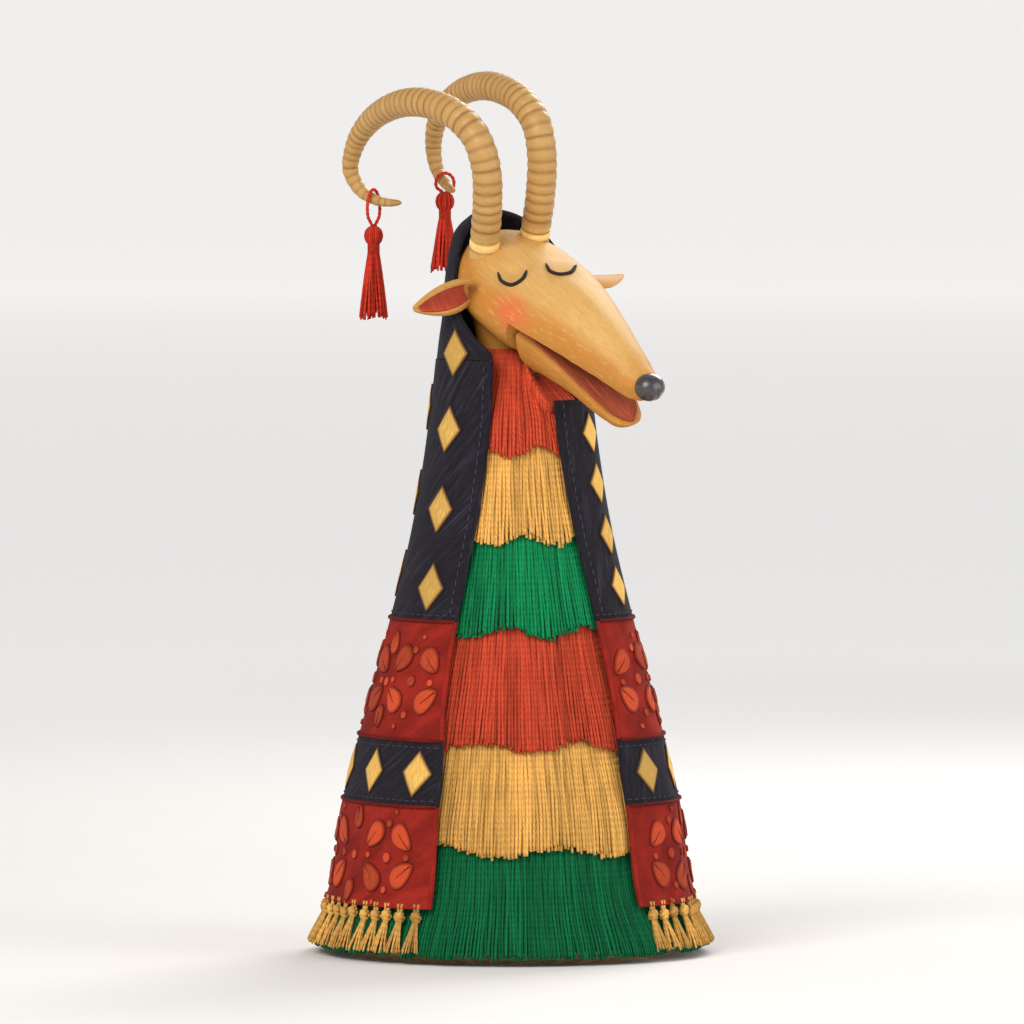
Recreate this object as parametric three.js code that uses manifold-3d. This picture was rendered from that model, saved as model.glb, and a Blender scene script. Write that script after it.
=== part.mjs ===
// Table-top folk goat figure: carved head on a post, clacking jaw on a pull
// rod, curled horns with tassels, hooded cape over a tiered fringe robe.
// Millimetres, +Z up, floor at z = 0, post axis at x = y = 0, robe opening -Y.
import * as THREE from 'three';
import Module from 'manifold-3d';

const wasm = await Module();
wasm.setup();

// ---------------------------------------------------------------- sizes
const GAP = 0.3;                    // air between two touching pieces
const BASE_RADIUS = 78;
const BASE_HEIGHT = 25;
const RECESS_RADIUS = 30;           // finger recess in the underside
const RECESS_DEPTH = 21;
const BRIDGE = [10, 3.4];           // width and thickness of the bar across the recess
const POST_RADIUS = 9;
const POST_TOP = 286;
const ROD_RADIUS = 2.4;
const ROD_CLEARANCE = 0.9;          // rod to bore of the post
const WIRE_RADIUS = 1.1;            // thin end of the rod through the jaw tail
const COLLAR_RADIUS = 4.5;          // pushes the tail up
const COLLAR_TOP = 310.8;
const BEAD_RADIUS = 4.2;            // draws the tail down
const BEAD_AT = 331;
const KNOB_RADIUS = 11;
const KNOB_HEIGHT = 7;
const FORMER_WALL = 5;              // paper cone under the garment
const KNOB_LIFT = 10.2;                // knob above the floor at rest

const CAPE_SCALE = 1;               // girth of the whole garment
const CAPE_CLOTH = 2.2;             // thickness of the felt cape
const TIER_CLOTH = 2.0;             // thickness of one fringe tier
const TIER_LAP = 7;                 // how far a tier hangs over the next
const CAPE_PROFILE = [              // height, outer radius
  [0, 99], [5, 97.5], [26, 88], [74, 79.5], [105, 72], [161, 57.5],
  [205, 47.5], [248, 40.5], [273, 37.6], [288, 36], [300, 34.5], [330, 31]];
const CAPE_SEAMS = { top: 285, yoke: 161, leafUpper: 105, diamond: 74, leafLower: 26, hem: 5 };
const THROAT_SPAN = [5, 58];         // headings the throat piece covers
const THROAT_RISE = 12;             // how far it climbs to the neck
const TIER_EDGES = [290, 242, 200, 156, 102.5, 53, 3];   // visible lower edges

const HEAD_CENTRE = new THREE.Vector3(5.4, -8.5, 318);
const HEAD_YAW = 27.5;              // degrees from -Y towards +X
const HEAD_PITCH = 26;              // nose down
const HEAD_ROLL = 12;               // its left side up
const NECK_RADIUS = 16;
const NECK_BOTTOM = 256;
// x along the head, centre z, half width, height above, depth below
const HEAD_SECTIONS = [
  [-36, 0, 9, 8, 8], [-34, 0, 16, 13, 12], [-28, 0, 23, 18, 16], [-18, 0, 28, 20, 18.5],
  [-6, 0, 31, 20.5, 20], [6, 0, 31.5, 20.5, 21], [18, 0, 30.5, 21.5, 21.5], [30, 1, 27.5, 21.5, 21],
  [42, 2, 24, 20.5, 20], [56, 3, 20, 18, 19], [70, 3.3, 16.5, 14.7, 18], [84, 3.3, 13, 10.8, 16],
  [96, 3, 10.5, 7.8, 14], [103, 2.7, 8.5, 6, 12], [107, 2.7, 5.5, 3.8, 8]];
const MOUTH_BACK = 27;              // wall behind the mouth
const MOUTH_Z = 2.5;                // mouth plane at MOUTH_BACK
const MOUTH_SLOPE = 4.2;            // degrees down towards the nose
const NOSE_RADIUS = 7;
const NOSE_AT = [108.5, 0, 4.2];
const JAW_PIVOT = [24, 0, -8];     // head frame x, y, z
const JAW_OPEN = 9;                 // opening as built, degrees
const JAW_SLIM = 0.05;              // how fast the jaw's top sinks towards its tip
const JAW_TAIL = 8.4;               // half width of the tail in its slot
const TAIL_END = -16.5;             // x of the tail's back end
const TAIL_HALF = 3.5;              // half thickness of the tail
const TAIL_SLOT = [3, 2.8];         // half width and half throw of the slot the wire runs in
const JAW_SLOT_CLEARANCE = 0.8;
const PIN_RADIUS = 2;
const PIN_CLEARANCE = 0.3;
const LINING = 1.2;
const HORN_RADIUS = 7.1;
const HORN_RIDGES = 26;
const HORN_CURVE = [                // x, half spacing, z in the head frame
  [-17.5, 14.5, 7], [-17.5, 14.5, 19.6], [-17.5, 15.2, 42.7], [-20.8, 15.9, 60.8], [-29.3, 17.1, 72.3],
  [-44.3, 18.3, 76.3], [-62.5, 19.5, 73.7], [-82, 20.6, 65.8], [-101.5, 21.6, 51.8],
  [-115, 22.3, 36.5], [-122, 23.1, 22.5], [-122.9, 23.9, 8.3], [-116, 22.5, 1.2],
  [-106.5, 20.7, 0], [-97.6, 17.9, 1.8], [-89.7, 15, 5.2]];
const TASSEL_AT = 0.925;            // place along the horn curve
const TASSELS = [['tassel_right', -1, 9, 45], ['tassel_left', 1, 0.4, 39]];   // name, side, slack of the loop, length
const LID_RADIUS = 0.95;
const LIDS = {                      // head frame x, y of each closed lid, from its outer end
  eye_right: [[3.2, -19.6], [10, -21.4], [17.2, -20.2], [18.8, -15.8], [13.4, -10]],
  eye_left: [[18.8, 14.6], [26.4, 5.8], [26.6, 0.4], [21.6, -2], [13.4, 0.4]],
};
const EAR_LENGTH = 27;
const PEG_RADIUS = 1.6;
const EAR_WIDTH = 9.6;
const EAR_DROOP = { '-1': -0.3, 1: -0.38 };   // each ear hangs its own way
const EAR_ROOT = { '-1': [-4, -31.9, 5.5], 1: [0, 32.8, -1] };
const EAR_FACING = { '-1': [0.85, -0.1, 0.2], 1: [0.2, 0.3, -0.93] };

const COLOUR = {
  wood: 0xc98a52, pine: 0xd9b27c, horn: 0xb08a5a, navy: 0x2a2940, red: 0xb23127, deepRed: 0x8f2f2a,
  ochre: 0xc98a2e, green: 0x1f7a55, brick: 0xc2482c, black: 0x1c1a1c, pink: 0xd98a80, foam: 0xe8e2d2,
  steel: 0x9a9a98, lining: 0x8e3f34 };

// ---------------------------------------------------------------- helpers
const rad = THREE.MathUtils.degToRad;
const lerpTable = (table, z, col = 1) => {
  if (z <= table[0][0]) return table[0][col];
  for (let i = 1; i < table.length; i++) {
    if (z <= table[i][0]) {
      const t = (z - table[i - 1][0]) / (table[i][0] - table[i - 1][0]);
      return table[i - 1][col] + t * (table[i][col] - table[i - 1][col]);
    }
  }
  return table[table.length - 1][col];
};
const meshOf = (points, faces) => {
  const g = new THREE.BufferGeometry();
  g.setAttribute('position', new THREE.Float32BufferAttribute(points.flat(), 3));
  g.setIndex(faces.flat());
  return g;
};
function signedVolume(g) {
  const p = g.attributes.position, ix = g.index.array;
  const a = new THREE.Vector3(), b = new THREE.Vector3(), c = new THREE.Vector3();
  let v = 0;
  for (let i = 0; i < ix.length; i += 3) {
    a.fromBufferAttribute(p, ix[i]); b.fromBufferAttribute(p, ix[i + 1]); c.fromBufferAttribute(p, ix[i + 2]);
    v += a.dot(b.clone().cross(c)) / 6;
  }
  return v;
}
function flip(g) {
  const ix = Array.from(g.index.array);
  for (let i = 0; i < ix.length; i += 3) [ix[i + 1], ix[i + 2]] = [ix[i + 2], ix[i + 1]];
  g.setIndex(ix);
  return g;
}
const outward = (g) => (signedVolume(g) > 0 ? g : flip(g));
// closed solid through rings of equal length, capped by a fan at each end
const loft = (rings) => {
  const n = rings[0].length, points = rings.flat(), faces = [];
  for (let k = 0; k + 1 < rings.length; k++) {
    for (let i = 0; i < n; i++) {
      const a = k * n + i, b = k * n + (i + 1) % n, c = a + n, d = b + n;
      faces.push([a, b, d], [a, d, c]);
    }
  }
  const centre = (ring) => [0, 1, 2].map((j) => ring.reduce((s, p) => s + p[j], 0) / n);
  const first = points.length, last = first + 1, base = (rings.length - 1) * n;
  points.push(centre(rings[0]), centre(rings[rings.length - 1]));
  for (let i = 0; i < n; i++) {
    faces.push([first, (i + 1) % n, i], [last, base + i, base + (i + 1) % n]);
  }
  return outward(meshOf(points, faces));
};
// shell between an outer and an inner surface over u in 0..1, v in 0..1
const shell = (outer, inner, nu, nv, round) => {
  const cols = round ? nu : nu + 1, points = [], faces = [];
  for (const f of [outer, inner]) {
    for (let j = 0; j <= nv; j++) for (let i = 0; i < cols; i++) points.push(f(i / nu, j / nv));
  }
  const at = (s, i, j) => s * cols * (nv + 1) + j * cols + (i % cols);
  const quad = (a, b, c, d) => faces.push([a, b, c], [a, c, d]);
  for (let j = 0; j < nv; j++) {
    for (let i = 0; i < nu; i++) {
      quad(at(0, i, j), at(0, i, j + 1), at(0, i + 1, j + 1), at(0, i + 1, j));
      quad(at(1, i, j), at(1, i + 1, j), at(1, i + 1, j + 1), at(1, i, j + 1));
    }
    if (!round) {
      quad(at(0, 0, j), at(1, 0, j), at(1, 0, j + 1), at(0, 0, j + 1));
      quad(at(0, nu, j), at(0, nu, j + 1), at(1, nu, j + 1), at(1, nu, j));
    }
  }
  for (let i = 0; i < nu; i++) {
    quad(at(0, i, 0), at(0, i + 1, 0), at(1, i + 1, 0), at(1, i, 0));
    quad(at(0, i, nv), at(1, i, nv), at(1, i + 1, nv), at(0, i + 1, nv));
  }
  return outward(meshOf(points, faces));
};
const solid = (geometry) => {
  const g = geometry.index ? geometry : geometry.toNonIndexed();
  const pos = g.attributes.position, seen = new Map(), remap = [], verts = [];
  for (let i = 0; i < pos.count; i++) {
    const p = [pos.getX(i), pos.getY(i), pos.getZ(i)];
    const key = p.map((v) => Math.round(v * 1e4)).join();
    if (!seen.has(key)) { seen.set(key, verts.length / 3); verts.push(...p); }
    remap.push(seen.get(key));
  }
  const index = g.index ? Array.from(g.index.array) : remap.map((_, i) => i);
  const tris = [];
  for (let i = 0; i < index.length; i += 3) {
    const t = [remap[index[i]], remap[index[i + 1]], remap[index[i + 2]]];
    if (t[0] !== t[1] && t[1] !== t[2] && t[0] !== t[2]) tris.push(...t);
  }
  return new wasm.Manifold(new wasm.Mesh({
    numProp: 3, vertProperties: new Float32Array(verts), triVerts: new Uint32Array(tris) }));
};
const geometryOf = (manifold) => {
  const m = manifold.getMesh(), g = new THREE.BufferGeometry(), p = [];
  for (let i = 0; i < m.vertProperties.length; i += m.numProp) {
    p.push(m.vertProperties[i], m.vertProperties[i + 1], m.vertProperties[i + 2]);
  }
  g.setAttribute('position', new THREE.Float32BufferAttribute(p, 3));
  g.setIndex(Array.from(m.triVerts));
  return g;
};
// solid of revolution about z from a closed profile of [r, z] starting and ending on the axis
const turned = (profile, sides) => {
  const rings = profile.slice(1, -1).map(([r, z]) => Array.from({ length: sides }, (_, i) => {
    const a = (i / sides) * 2 * Math.PI;
    return [r * Math.cos(a), r * Math.sin(a), z];
  }));
  return loft(rings);
};
const rod = (radius, z0, z1, sides = 24) => turned([[0, z0], [radius, z0], [radius, z1], [0, z1]], sides);
const block = (x0, x1, y0, y1, z0, z1) =>
  new THREE.BoxGeometry(x1 - x0, y1 - y0, z1 - z0).translate((x0 + x1) / 2, (y0 + y1) / 2, (z0 + z1) / 2);
const lying = (geometry) => geometry.rotateX(Math.PI / 2);     // z axis onto y
const ball = (r, w = 20, h = 12) => {
  const rows = Array.from({ length: h - 1 }, (_, k) => {
    const a = Math.PI * (k + 1) / h;
    return [r * Math.sin(a), -r * Math.cos(a)];
  });
  return turned([[0, -r], ...rows, [0, r]], w);
};

const group = new THREE.Group();
group.name = 'goat_figure';
const add = (name, geometry, colour, roughness, metalness = 0) => {
  const g = geometry.isBufferGeometry ? geometry : geometryOf(geometry);
  const flat = g.clone();
  flat.computeVertexNormals();
  const mesh = new THREE.Mesh(flat, new THREE.MeshStandardMaterial({ color: colour, roughness, metalness }));
  mesh.name = name;
  group.add(mesh);
};

// ---------------------------------------------------------------- frames
const yaw = rad(HEAD_YAW), pitch = rad(HEAD_PITCH), roll = rad(HEAD_ROLL);
const headMatrix = new THREE.Matrix4().makeTranslation(HEAD_CENTRE)
  .multiply(new THREE.Matrix4().makeRotationZ(yaw - Math.PI / 2))
  .multiply(new THREE.Matrix4().makeRotationY(pitch))
  .multiply(new THREE.Matrix4().makeRotationX(roll));
const toHead = headMatrix.clone().invert();
const inWorld = (geometry) => geometry.applyMatrix4(headMatrix);
const inHead = (geometry) => geometry.applyMatrix4(toHead);
const jawMatrix = new THREE.Matrix4().makeTranslation(...JAW_PIVOT)
  .multiply(new THREE.Matrix4().makeRotationY(rad(JAW_OPEN)))
  .multiply(new THREE.Matrix4().makeTranslation(-JAW_PIVOT[0], -JAW_PIVOT[1], -JAW_PIVOT[2]));
const mouthZ = (x) => MOUTH_Z - (x - MOUTH_BACK) * Math.tan(rad(MOUTH_SLOPE));

const capeRadius = (z) => CAPE_SCALE * lerpTable(CAPE_PROFILE, z);
const polar = (r, deg, z) => [r * Math.sin(rad(deg)), -r * Math.cos(rad(deg)), z];
const smooth = (t) => { const c = Math.min(1, Math.max(0, t)); return c * c * (3 - 2 * c); };
const OPENING = [                   // height, half the angle of the front opening
  [0, 35], [80, 35], [135, 37.5], [170, 36], [220, 29.5], [265, 25], [300, 25]];
const openHalf = (z) => lerpTable(OPENING, z);

// ---------------------------------------------------------------- base, post, pull rod
const boreRadius = ROD_RADIUS + ROD_CLEARANCE;
const baseBoard = solid(turned([[0, 0], [BASE_RADIUS - 2, 0], [BASE_RADIUS, 2], [BASE_RADIUS, BASE_HEIGHT - 3],
  [BASE_RADIUS - 3, BASE_HEIGHT], [0, BASE_HEIGHT]], 64))
  .subtract(solid(rod(RECESS_RADIUS, -1, RECESS_DEPTH, 40)))
  .subtract(solid(rod(POST_RADIUS + GAP, RECESS_DEPTH - 1, BASE_HEIGHT + 1, 32)))
  .add(solid(block(-BRIDGE[0] / 2, BRIDGE[0] / 2, -RECESS_RADIUS - 2, RECESS_RADIUS + 2, 0, BRIDGE[1])));
add('base_board', baseBoard, COLOUR.pine, 0.6);
const post = solid(rod(POST_RADIUS, RECESS_DEPTH + 0.5, POST_TOP, 32)).subtract(solid(rod(boreRadius, 0, POST_TOP + 5, 20)));
add('post', post, COLOUR.pine, 0.6);
// stiff paper cone, set back by two tiers of fringe at the front and round the foot
const tierRoom = 2 * TIER_CLOTH + 2 * GAP + 0.1;
const formerRadius = (deg, z) => capeRadius(z) - CAPE_CLOTH - GAP - 0.2
  - tierRoom * Math.max(1 - smooth((Math.abs(deg) - 64) / 8), 1 - smooth((z - 62) / 10));
const formerTop = 254;
const formerHeights = [BASE_HEIGHT + GAP, 50, 62, 72, 105, 133, 161, 183, 205, 226, formerTop - 6, formerTop];
const formerRing = (z, inset) => Array.from({ length: 60 }, (_, i) => {
  const deg = i * 6 - 180;
  return polar(formerRadius(deg, z) - inset, deg, z);
});
const former = solid(loft(formerHeights.map((z) => formerRing(z, z === formerTop ? 5 : 0))))
  .subtract(solid(loft([BASE_HEIGHT - 2, 62, 72, 105, 161, 205, formerTop - FORMER_WALL].map((z) => formerRing(z, FORMER_WALL)))))
  .subtract(solid(rod(POST_RADIUS + GAP, 0, formerTop + 5, 32)));
add('cone_former', former, COLOUR.foam, 0.9);
const pullRod = solid(rod(ROD_RADIUS, KNOB_LIFT + KNOB_HEIGHT + GAP, COLLAR_TOP - 1, 16))
  .add(solid(rod(COLLAR_RADIUS, COLLAR_TOP - 2, COLLAR_TOP, 20)))
  .add(solid(rod(WIRE_RADIUS, COLLAR_TOP - 1, BEAD_AT, 12)))
  .add(solid(ball(BEAD_RADIUS, 16, 10).translate(0, 0, BEAD_AT)));
add('pull_rod', pullRod, COLOUR.pine, 0.6);
const knob = turned([[0, KNOB_LIFT], [KNOB_RADIUS - 3, KNOB_LIFT], [KNOB_RADIUS, KNOB_LIFT + 3],
  [KNOB_RADIUS, KNOB_LIFT + KNOB_HEIGHT - 3], [KNOB_RADIUS - 4, KNOB_LIFT + KNOB_HEIGHT], [0, KNOB_LIFT + KNOB_HEIGHT]], 28);
add('pull_knob', knob, COLOUR.wood, 0.5);

// ---------------------------------------------------------------- head
const SIDES = 28;
const headRing = ([x, zc, a, up, down], grow = 0) => Array.from({ length: SIDES }, (_, i) => {
  const t = (i / SIDES) * 2 * Math.PI, c = Math.cos(t), s = Math.sin(t);
  return [x, (a + grow) * c, zc + (s > 0 ? up + grow : down + grow) * s];
});
const headLoft = loft(HEAD_SECTIONS.map((s) => headRing(s)));
const neck = inHead(rod(NECK_RADIUS, NECK_BOTTOM, 308, 28));
// everything below the mouth plane ahead of MOUTH_BACK
const mouthCut = (x0, shift, floor) => {
  const ring = (y) => [[x0, y, floor], [140, y, floor], [140, y, mouthZ(140) + shift], [x0, y, mouthZ(x0) + shift]];
  return loft([ring(60), ring(-60)]);
};
const slotHalf = JAW_TAIL + JAW_SLOT_CLEARANCE;
const [px, , pz] = JAW_PIVOT;
const hornRadius = (t) => {
  const taper = t < 0.45 ? 1 : 1 - 0.8 * ((t - 0.45) / 0.55) ** 1.6;
  return HORN_RADIUS * taper;
};
const headWithNeck = solid(headLoft).add(solid(neck))
  .subtract(solid(mouthCut(MOUTH_BACK, 0, -60)))
  .subtract(solid(block(TAIL_END - 5, MOUTH_BACK + 2, -slotHalf, slotHalf, -14, 15)))
  .subtract(solid(lying(rod(PIN_RADIUS + PIN_CLEARANCE, -60, 60, 16)).translate(px, 0, pz)))
  .subtract(solid(inHead(rod(POST_RADIUS + GAP, NECK_BOTTOM - 2, POST_TOP + GAP, 32))))
  .subtract(solid(inHead(rod(COLLAR_RADIUS + 1, POST_TOP - 2, 312, 20))))
  .subtract(solid(ball(NOSE_RADIUS + GAP, 24, 14).translate(...NOSE_AT)));
const earDir = (side) => new THREE.Vector3(-0.12, 0.97 * side, EAR_DROOP[side]).normalize();
const earRoot = (side) => new THREE.Vector3(...EAR_ROOT[side]);
const earPeg = (side, radius, from, to) => {
  const dir = earDir(side), g = rod(radius, from, to, 14);
  g.applyQuaternion(new THREE.Quaternion().setFromUnitVectors(new THREE.Vector3(0, 0, 1), dir));
  const root = earRoot(side);
  return g.translate(root.x, root.y, root.z);
};
let head = headWithNeck;
for (const side of [-1, 1]) {
  const [hx, hy] = HORN_CURVE[0];
  head = head.subtract(solid(rod(HORN_RADIUS + 0.6, HORN_CURVE[0][2] - GAP, 40, 24).translate(hx, side * hy, 0)));
  head = head.subtract(solid(earPeg(side, PEG_RADIUS + GAP, -9, 6)));
}
add('head_block', geometryOf(head).applyMatrix4(headMatrix), COLOUR.wood, 0.55);
add('nose', inWorld(ball(NOSE_RADIUS, 24, 14).translate(...NOSE_AT)), COLOUR.black, 0.35);
add('jaw_pin', inWorld(lying(rod(PIN_RADIUS, -25, 25, 16)).translate(px, 0, pz)), COLOUR.steel, 0.35, 1);

// closed lids: slim arcs lying on the forehead
const headAt = (x) => [1, 2, 3, 4].map((c) => lerpTable(HEAD_SECTIONS, x, c));
const headTop = (x, y) => {
  const [zc, a, up] = headAt(x);
  return zc + up * Math.sqrt(Math.max(0, 1 - (y / a) ** 2));
};
for (const [name, points] of Object.entries(LIDS)) {
  const flat = new THREE.CatmullRomCurve3(points.map(([x, y]) => new THREE.Vector3(x, y, 0)));
  const path = flat.getPoints(9).map(({ x, y }) => new THREE.Vector3(x, y, headTop(x, y)));
  const rings = path.map((p, i) => {
    const along = path[Math.min(i + 1, 9)].clone().sub(path[Math.max(i - 1, 0)]).normalize();
    const d = 0.4, slopeX = (headTop(p.x + d, p.y) - headTop(p.x - d, p.y)) / (2 * d);
    const slopeY = (headTop(p.x, p.y + d) - headTop(p.x, p.y - d)) / (2 * d);
    const out = new THREE.Vector3(-slopeX, -slopeY, 1).normalize();
    const across = new THREE.Vector3().crossVectors(along, out).normalize();
    const c = p.clone().addScaledVector(out, LID_RADIUS + GAP);
    const r = LID_RADIUS * (0.45 + 0.55 * Math.sin(Math.PI * (0.08 + 0.84 * i / 9)));
    return Array.from({ length: 8 }, (_, k) => {
      const a = (k / 8) * 2 * Math.PI;
      return c.clone().addScaledVector(across, r * Math.cos(a)).addScaledVector(out, r * Math.sin(a)).toArray();
    });
  });
  add(name, inWorld(loft(rings)), COLOUR.black, 0.7);
}

// ears: leaf blades drooping outwards, each on a peg
for (const [name, side] of [['right', -1], ['left', 1]]) {
  const dir = earDir(side);
  const facing = new THREE.Vector3(...EAR_FACING[side]).normalize();
  const wide = new THREE.Vector3().crossVectors(facing, dir).normalize();
  const thick = new THREE.Vector3().crossVectors(dir, wide).normalize();
  const root = earRoot(side);
  const leaf = (widthScale, t0, t1, lift, half) => {
    const rows = 9, out = [];
    for (let k = 0; k <= rows; k++) {
      const t = t0 + (t1 - t0) * k / rows;
      const w = Math.max(0.5, EAR_WIDTH * widthScale * Math.sin(Math.PI * (0.16 + 0.8 * t)) ** 0.85);
      const h = Math.max(0.25, half * (1 - 0.55 * t));
      const c = root.clone().addScaledVector(dir, EAR_LENGTH * t).addScaledVector(thick, lift(t));
      out.push(Array.from({ length: 12 }, (_, i) => {
        const a = (i / 12) * 2 * Math.PI;
        const p = c.clone().addScaledVector(wide, w * Math.cos(a)).addScaledVector(thick, h * Math.sin(a));
        return p.toArray();
      }));
    }
    return out;
  };
  const blade = solid(loft(leaf(1, 0.03, 1, () => 0, 2.2))).add(solid(earPeg(side, PEG_RADIUS, -8, 4)));
  add('ear_' + name, geometryOf(blade).applyMatrix4(headMatrix), COLOUR.wood, 0.6);
  add('ear_lining_' + name, inWorld(loft(leaf(0.62, 0.16, 0.86, (t) => 2.2 * (1 - 0.55 * t) + 0.9, 0.55))), COLOUR.pink, 0.8);
}
// horns: ridged tapering sweeps, each standing in a socket
const hornCurve = (side) => new THREE.CatmullRomCurve3(
  HORN_CURVE.map(([x, y, z]) => new THREE.Vector3(x, side * y, z)), false, 'centripetal');
for (const [name, side] of [['horn_right', -1], ['horn_left', 1]]) {
  const curve = hornCurve(side), rows = HORN_RIDGES * 2 + 4, rings = [];
  const flatStart = new THREE.Vector3(0, 0, 1);
  for (let k = 0; k <= rows; k++) {
    const t = k / rows;
    const tangent = k === 0 ? flatStart : curve.getTangentAt(t);
    const b = new THREE.Vector3(0, 1, 0).addScaledVector(tangent, -tangent.y).normalize();
    const n = new THREE.Vector3().crossVectors(b, tangent).normalize();
    const ridge = k < 5 ? 0 : (k % 2 ? 0.45 : -0.35) * (1 - 0.5 * t);
    const r = hornRadius(t) + ridge;
    const c = curve.getPointAt(t);
    rings.push(Array.from({ length: 14 }, (_, i) => {
      const a = (i / 14) * 2 * Math.PI;
      return c.clone().addScaledVector(n, r * Math.cos(a)).addScaledVector(b, r * Math.sin(a)).toArray();
    }));
  }
  add(name, inWorld(loft(rings)), COLOUR.horn, 0.6);
}

// ---------------------------------------------------------------- jaw
const JAW_SECTIONS = [              // x, half width, depth below the mouth plane
  [28.4, 24, 26], [38, 21.5, 24], [50, 18.5, 20], [64, 15.5, 16], [78, 12.5, 13.5], [88, 10, 11.5], [95, 7.5, 9], [99, 4.5, 5.5]];
const jawRings = JAW_SECTIONS.map(([x, a, d], k) => {
  const sunk = JAW_SLIM * (x - 28.4), top = mouthZ(x) - 0.9 - 2 * LINING - sunk, n = 20;
  return Array.from({ length: n }, (_, i) => {
    const t = Math.PI * i / (n - 1);
    const y = a * Math.cos(t), z = top - (d - sunk) * Math.sin(t);
    return [x + (k === 0 ? 0.21 * (top - z) : k === 1 ? 0.1 * (top - z) : 0), y, z];
  });
});
const jawBody = loft(jawRings);
const tail = block(TAIL_END, 34, -JAW_TAIL, JAW_TAIL, pz - TAIL_HALF, pz + TAIL_HALF);
let jaw = solid(jawBody).add(solid(tail))
  .subtract(solid(lying(rod(PIN_RADIUS + PIN_CLEARANCE, -60, 60, 16)).translate(px, 0, pz)));
const jawToWorld = headMatrix.clone().multiply(jawMatrix);
const jawFromWorld = jawToWorld.clone().invert();
for (const k of [-1, -0.5, 0, 0.5, 1]) {
  const [x, y] = [k * TAIL_SLOT[1] * Math.sin(yaw), -k * TAIL_SLOT[1] * Math.cos(yaw)];
  jaw = jaw.subtract(solid(rod(TAIL_SLOT[0], 300, 332, 16).translate(x, y, 0).applyMatrix4(jawFromWorld)));
}
add('lower_jaw', geometryOf(jaw).applyMatrix4(jawToWorld), COLOUR.wood, 0.55);
const liningPlate = (x0, x1, inset, z0, z1, slim = 0) => {
  const rows = 8, left = [], right = [];
  for (let k = 0; k <= rows; k++) {
    const x = x0 + (x1 - x0) * k / rows;
    const w = Math.max(2, lerpTable(JAW_SECTIONS, x) - inset);
    left.push([x, w]); right.unshift([x, -w]);
  }
  const outline = [...left, ...right];
  return loft([z0, z1].map((z) => outline.map(([x, y]) => [x, y, mouthZ(x) + z - slim * (x - 28.4)])));
};
add('jaw_lining', inWorld(liningPlate(33, 96, 2.5, -0.9 - 2 * LINING + GAP, -0.9 - LINING + GAP, JAW_SLIM).applyMatrix4(jawMatrix)), COLOUR.lining, 0.8);
add('palate_lining', inWorld(liningPlate(33, 96, 3.5, -GAP - LINING, -GAP)), COLOUR.lining, 0.8);

// ---------------------------------------------------------------- fringe tiers
const tierColours = [COLOUR.red, COLOUR.ochre, COLOUR.green, COLOUR.brick, COLOUR.ochre, COLOUR.green];
for (let k = 0; k < 6; k++) {
  const whole = k === 5, bottom = TIER_EDGES[k + 1];
  // the neckline sinks under the jaw on the side the head is turned to
  const topAt = (deg) => (k ? TIER_EDGES[k] + TIER_LAP : TIER_EDGES[0] - 26 * smooth((deg + 6) / 30));
  const span = whole ? 180 : 60, nu = whole ? 60 : 26;
  const wave = (deg) => 1.6 * Math.sin(rad(deg) * 9 + k * 1.7);
  const surface = (depth) => (u, v) => {
    const deg = -span + 2 * span * u;
    const top = topAt(deg), z = top + (bottom - top) * v + (v === 1 ? (k < 5 ? wave(deg) : 0) : 0);
    const lean = depth + Math.max(0, (z - bottom - 8) / (top - bottom - 8)) * (TIER_CLOTH + GAP + 0.2);
    return polar(capeRadius(z) - CAPE_CLOTH - GAP - lean - Math.max(0, z - 257) * 0.3, deg, z);
  };
  add('tier_' + (k + 1), shell(surface(0), surface(TIER_CLOTH - 0.2), nu, whole ? 5 : 4, whole), tierColours[k], 0.95);
}
// throat: a short fringe from the neck out to the first tier, where the neckline sinks
const throatTop = (deg) => TIER_EDGES[0] - 26 * smooth((deg + 6) / 30);
const throat = (lift) => (u, v) => {
  const deg = THROAT_SPAN[0] + (THROAT_SPAN[1] - THROAT_SPAN[0]) * u, top = throatTop(deg);
  const rim = capeRadius(top) - CAPE_CLOTH - GAP - TIER_CLOTH - GAP - Math.max(0, top - 257) * 0.3;
  const r = NECK_RADIUS + 0.5 + (rim - NECK_RADIUS - 0.5) * v;
  return polar(r, deg, top + 0.7 + lift + Math.min(THROAT_RISE, 288 - top - 3) * (1 - v));
};
add('throat_fringe', shell(throat(1.6), throat(0), 14, 2, false), COLOUR.red, 0.95);

// ---------------------------------------------------------------- cape
const panel = (zTop, zBottom, nu, nv, opening) => {
  const surface = (inner) => (u, v) => {
    const rough = 25 + 310 * u, head = typeof zTop === 'function' ? zTop(rough) : zTop;
    const z = head + (zBottom - head) * v, h = opening(z);
    return polar(capeRadius(z) - inner, h + (360 - 2 * h) * u, z);
  };
  return shell(surface(0), surface(CAPE_CLOTH), nu, nv, false);
};
const neckline = (deg) => CAPE_SEAMS.top - 19 * (1 - smooth((deg - 58) / 34));
add('cape_upper', panel(neckline, CAPE_SEAMS.yoke + GAP, 48, 6, openHalf), COLOUR.navy, 0.95);
add('band_leaf_upper', panel(CAPE_SEAMS.yoke, CAPE_SEAMS.leafUpper + GAP, 48, 3, openHalf), COLOUR.deepRed, 0.95);
add('band_diamond', panel(CAPE_SEAMS.leafUpper, CAPE_SEAMS.diamond + GAP, 48, 2, openHalf), COLOUR.navy, 0.95);
add('band_leaf_lower', panel(CAPE_SEAMS.diamond, CAPE_SEAMS.leafLower + GAP, 48, 3, openHalf), COLOUR.deepRed, 0.95);
add('hem_fringe', panel(CAPE_SEAMS.leafLower, CAPE_SEAMS.hem, 48, 3, openHalf), COLOUR.ochre, 0.95);

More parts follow.
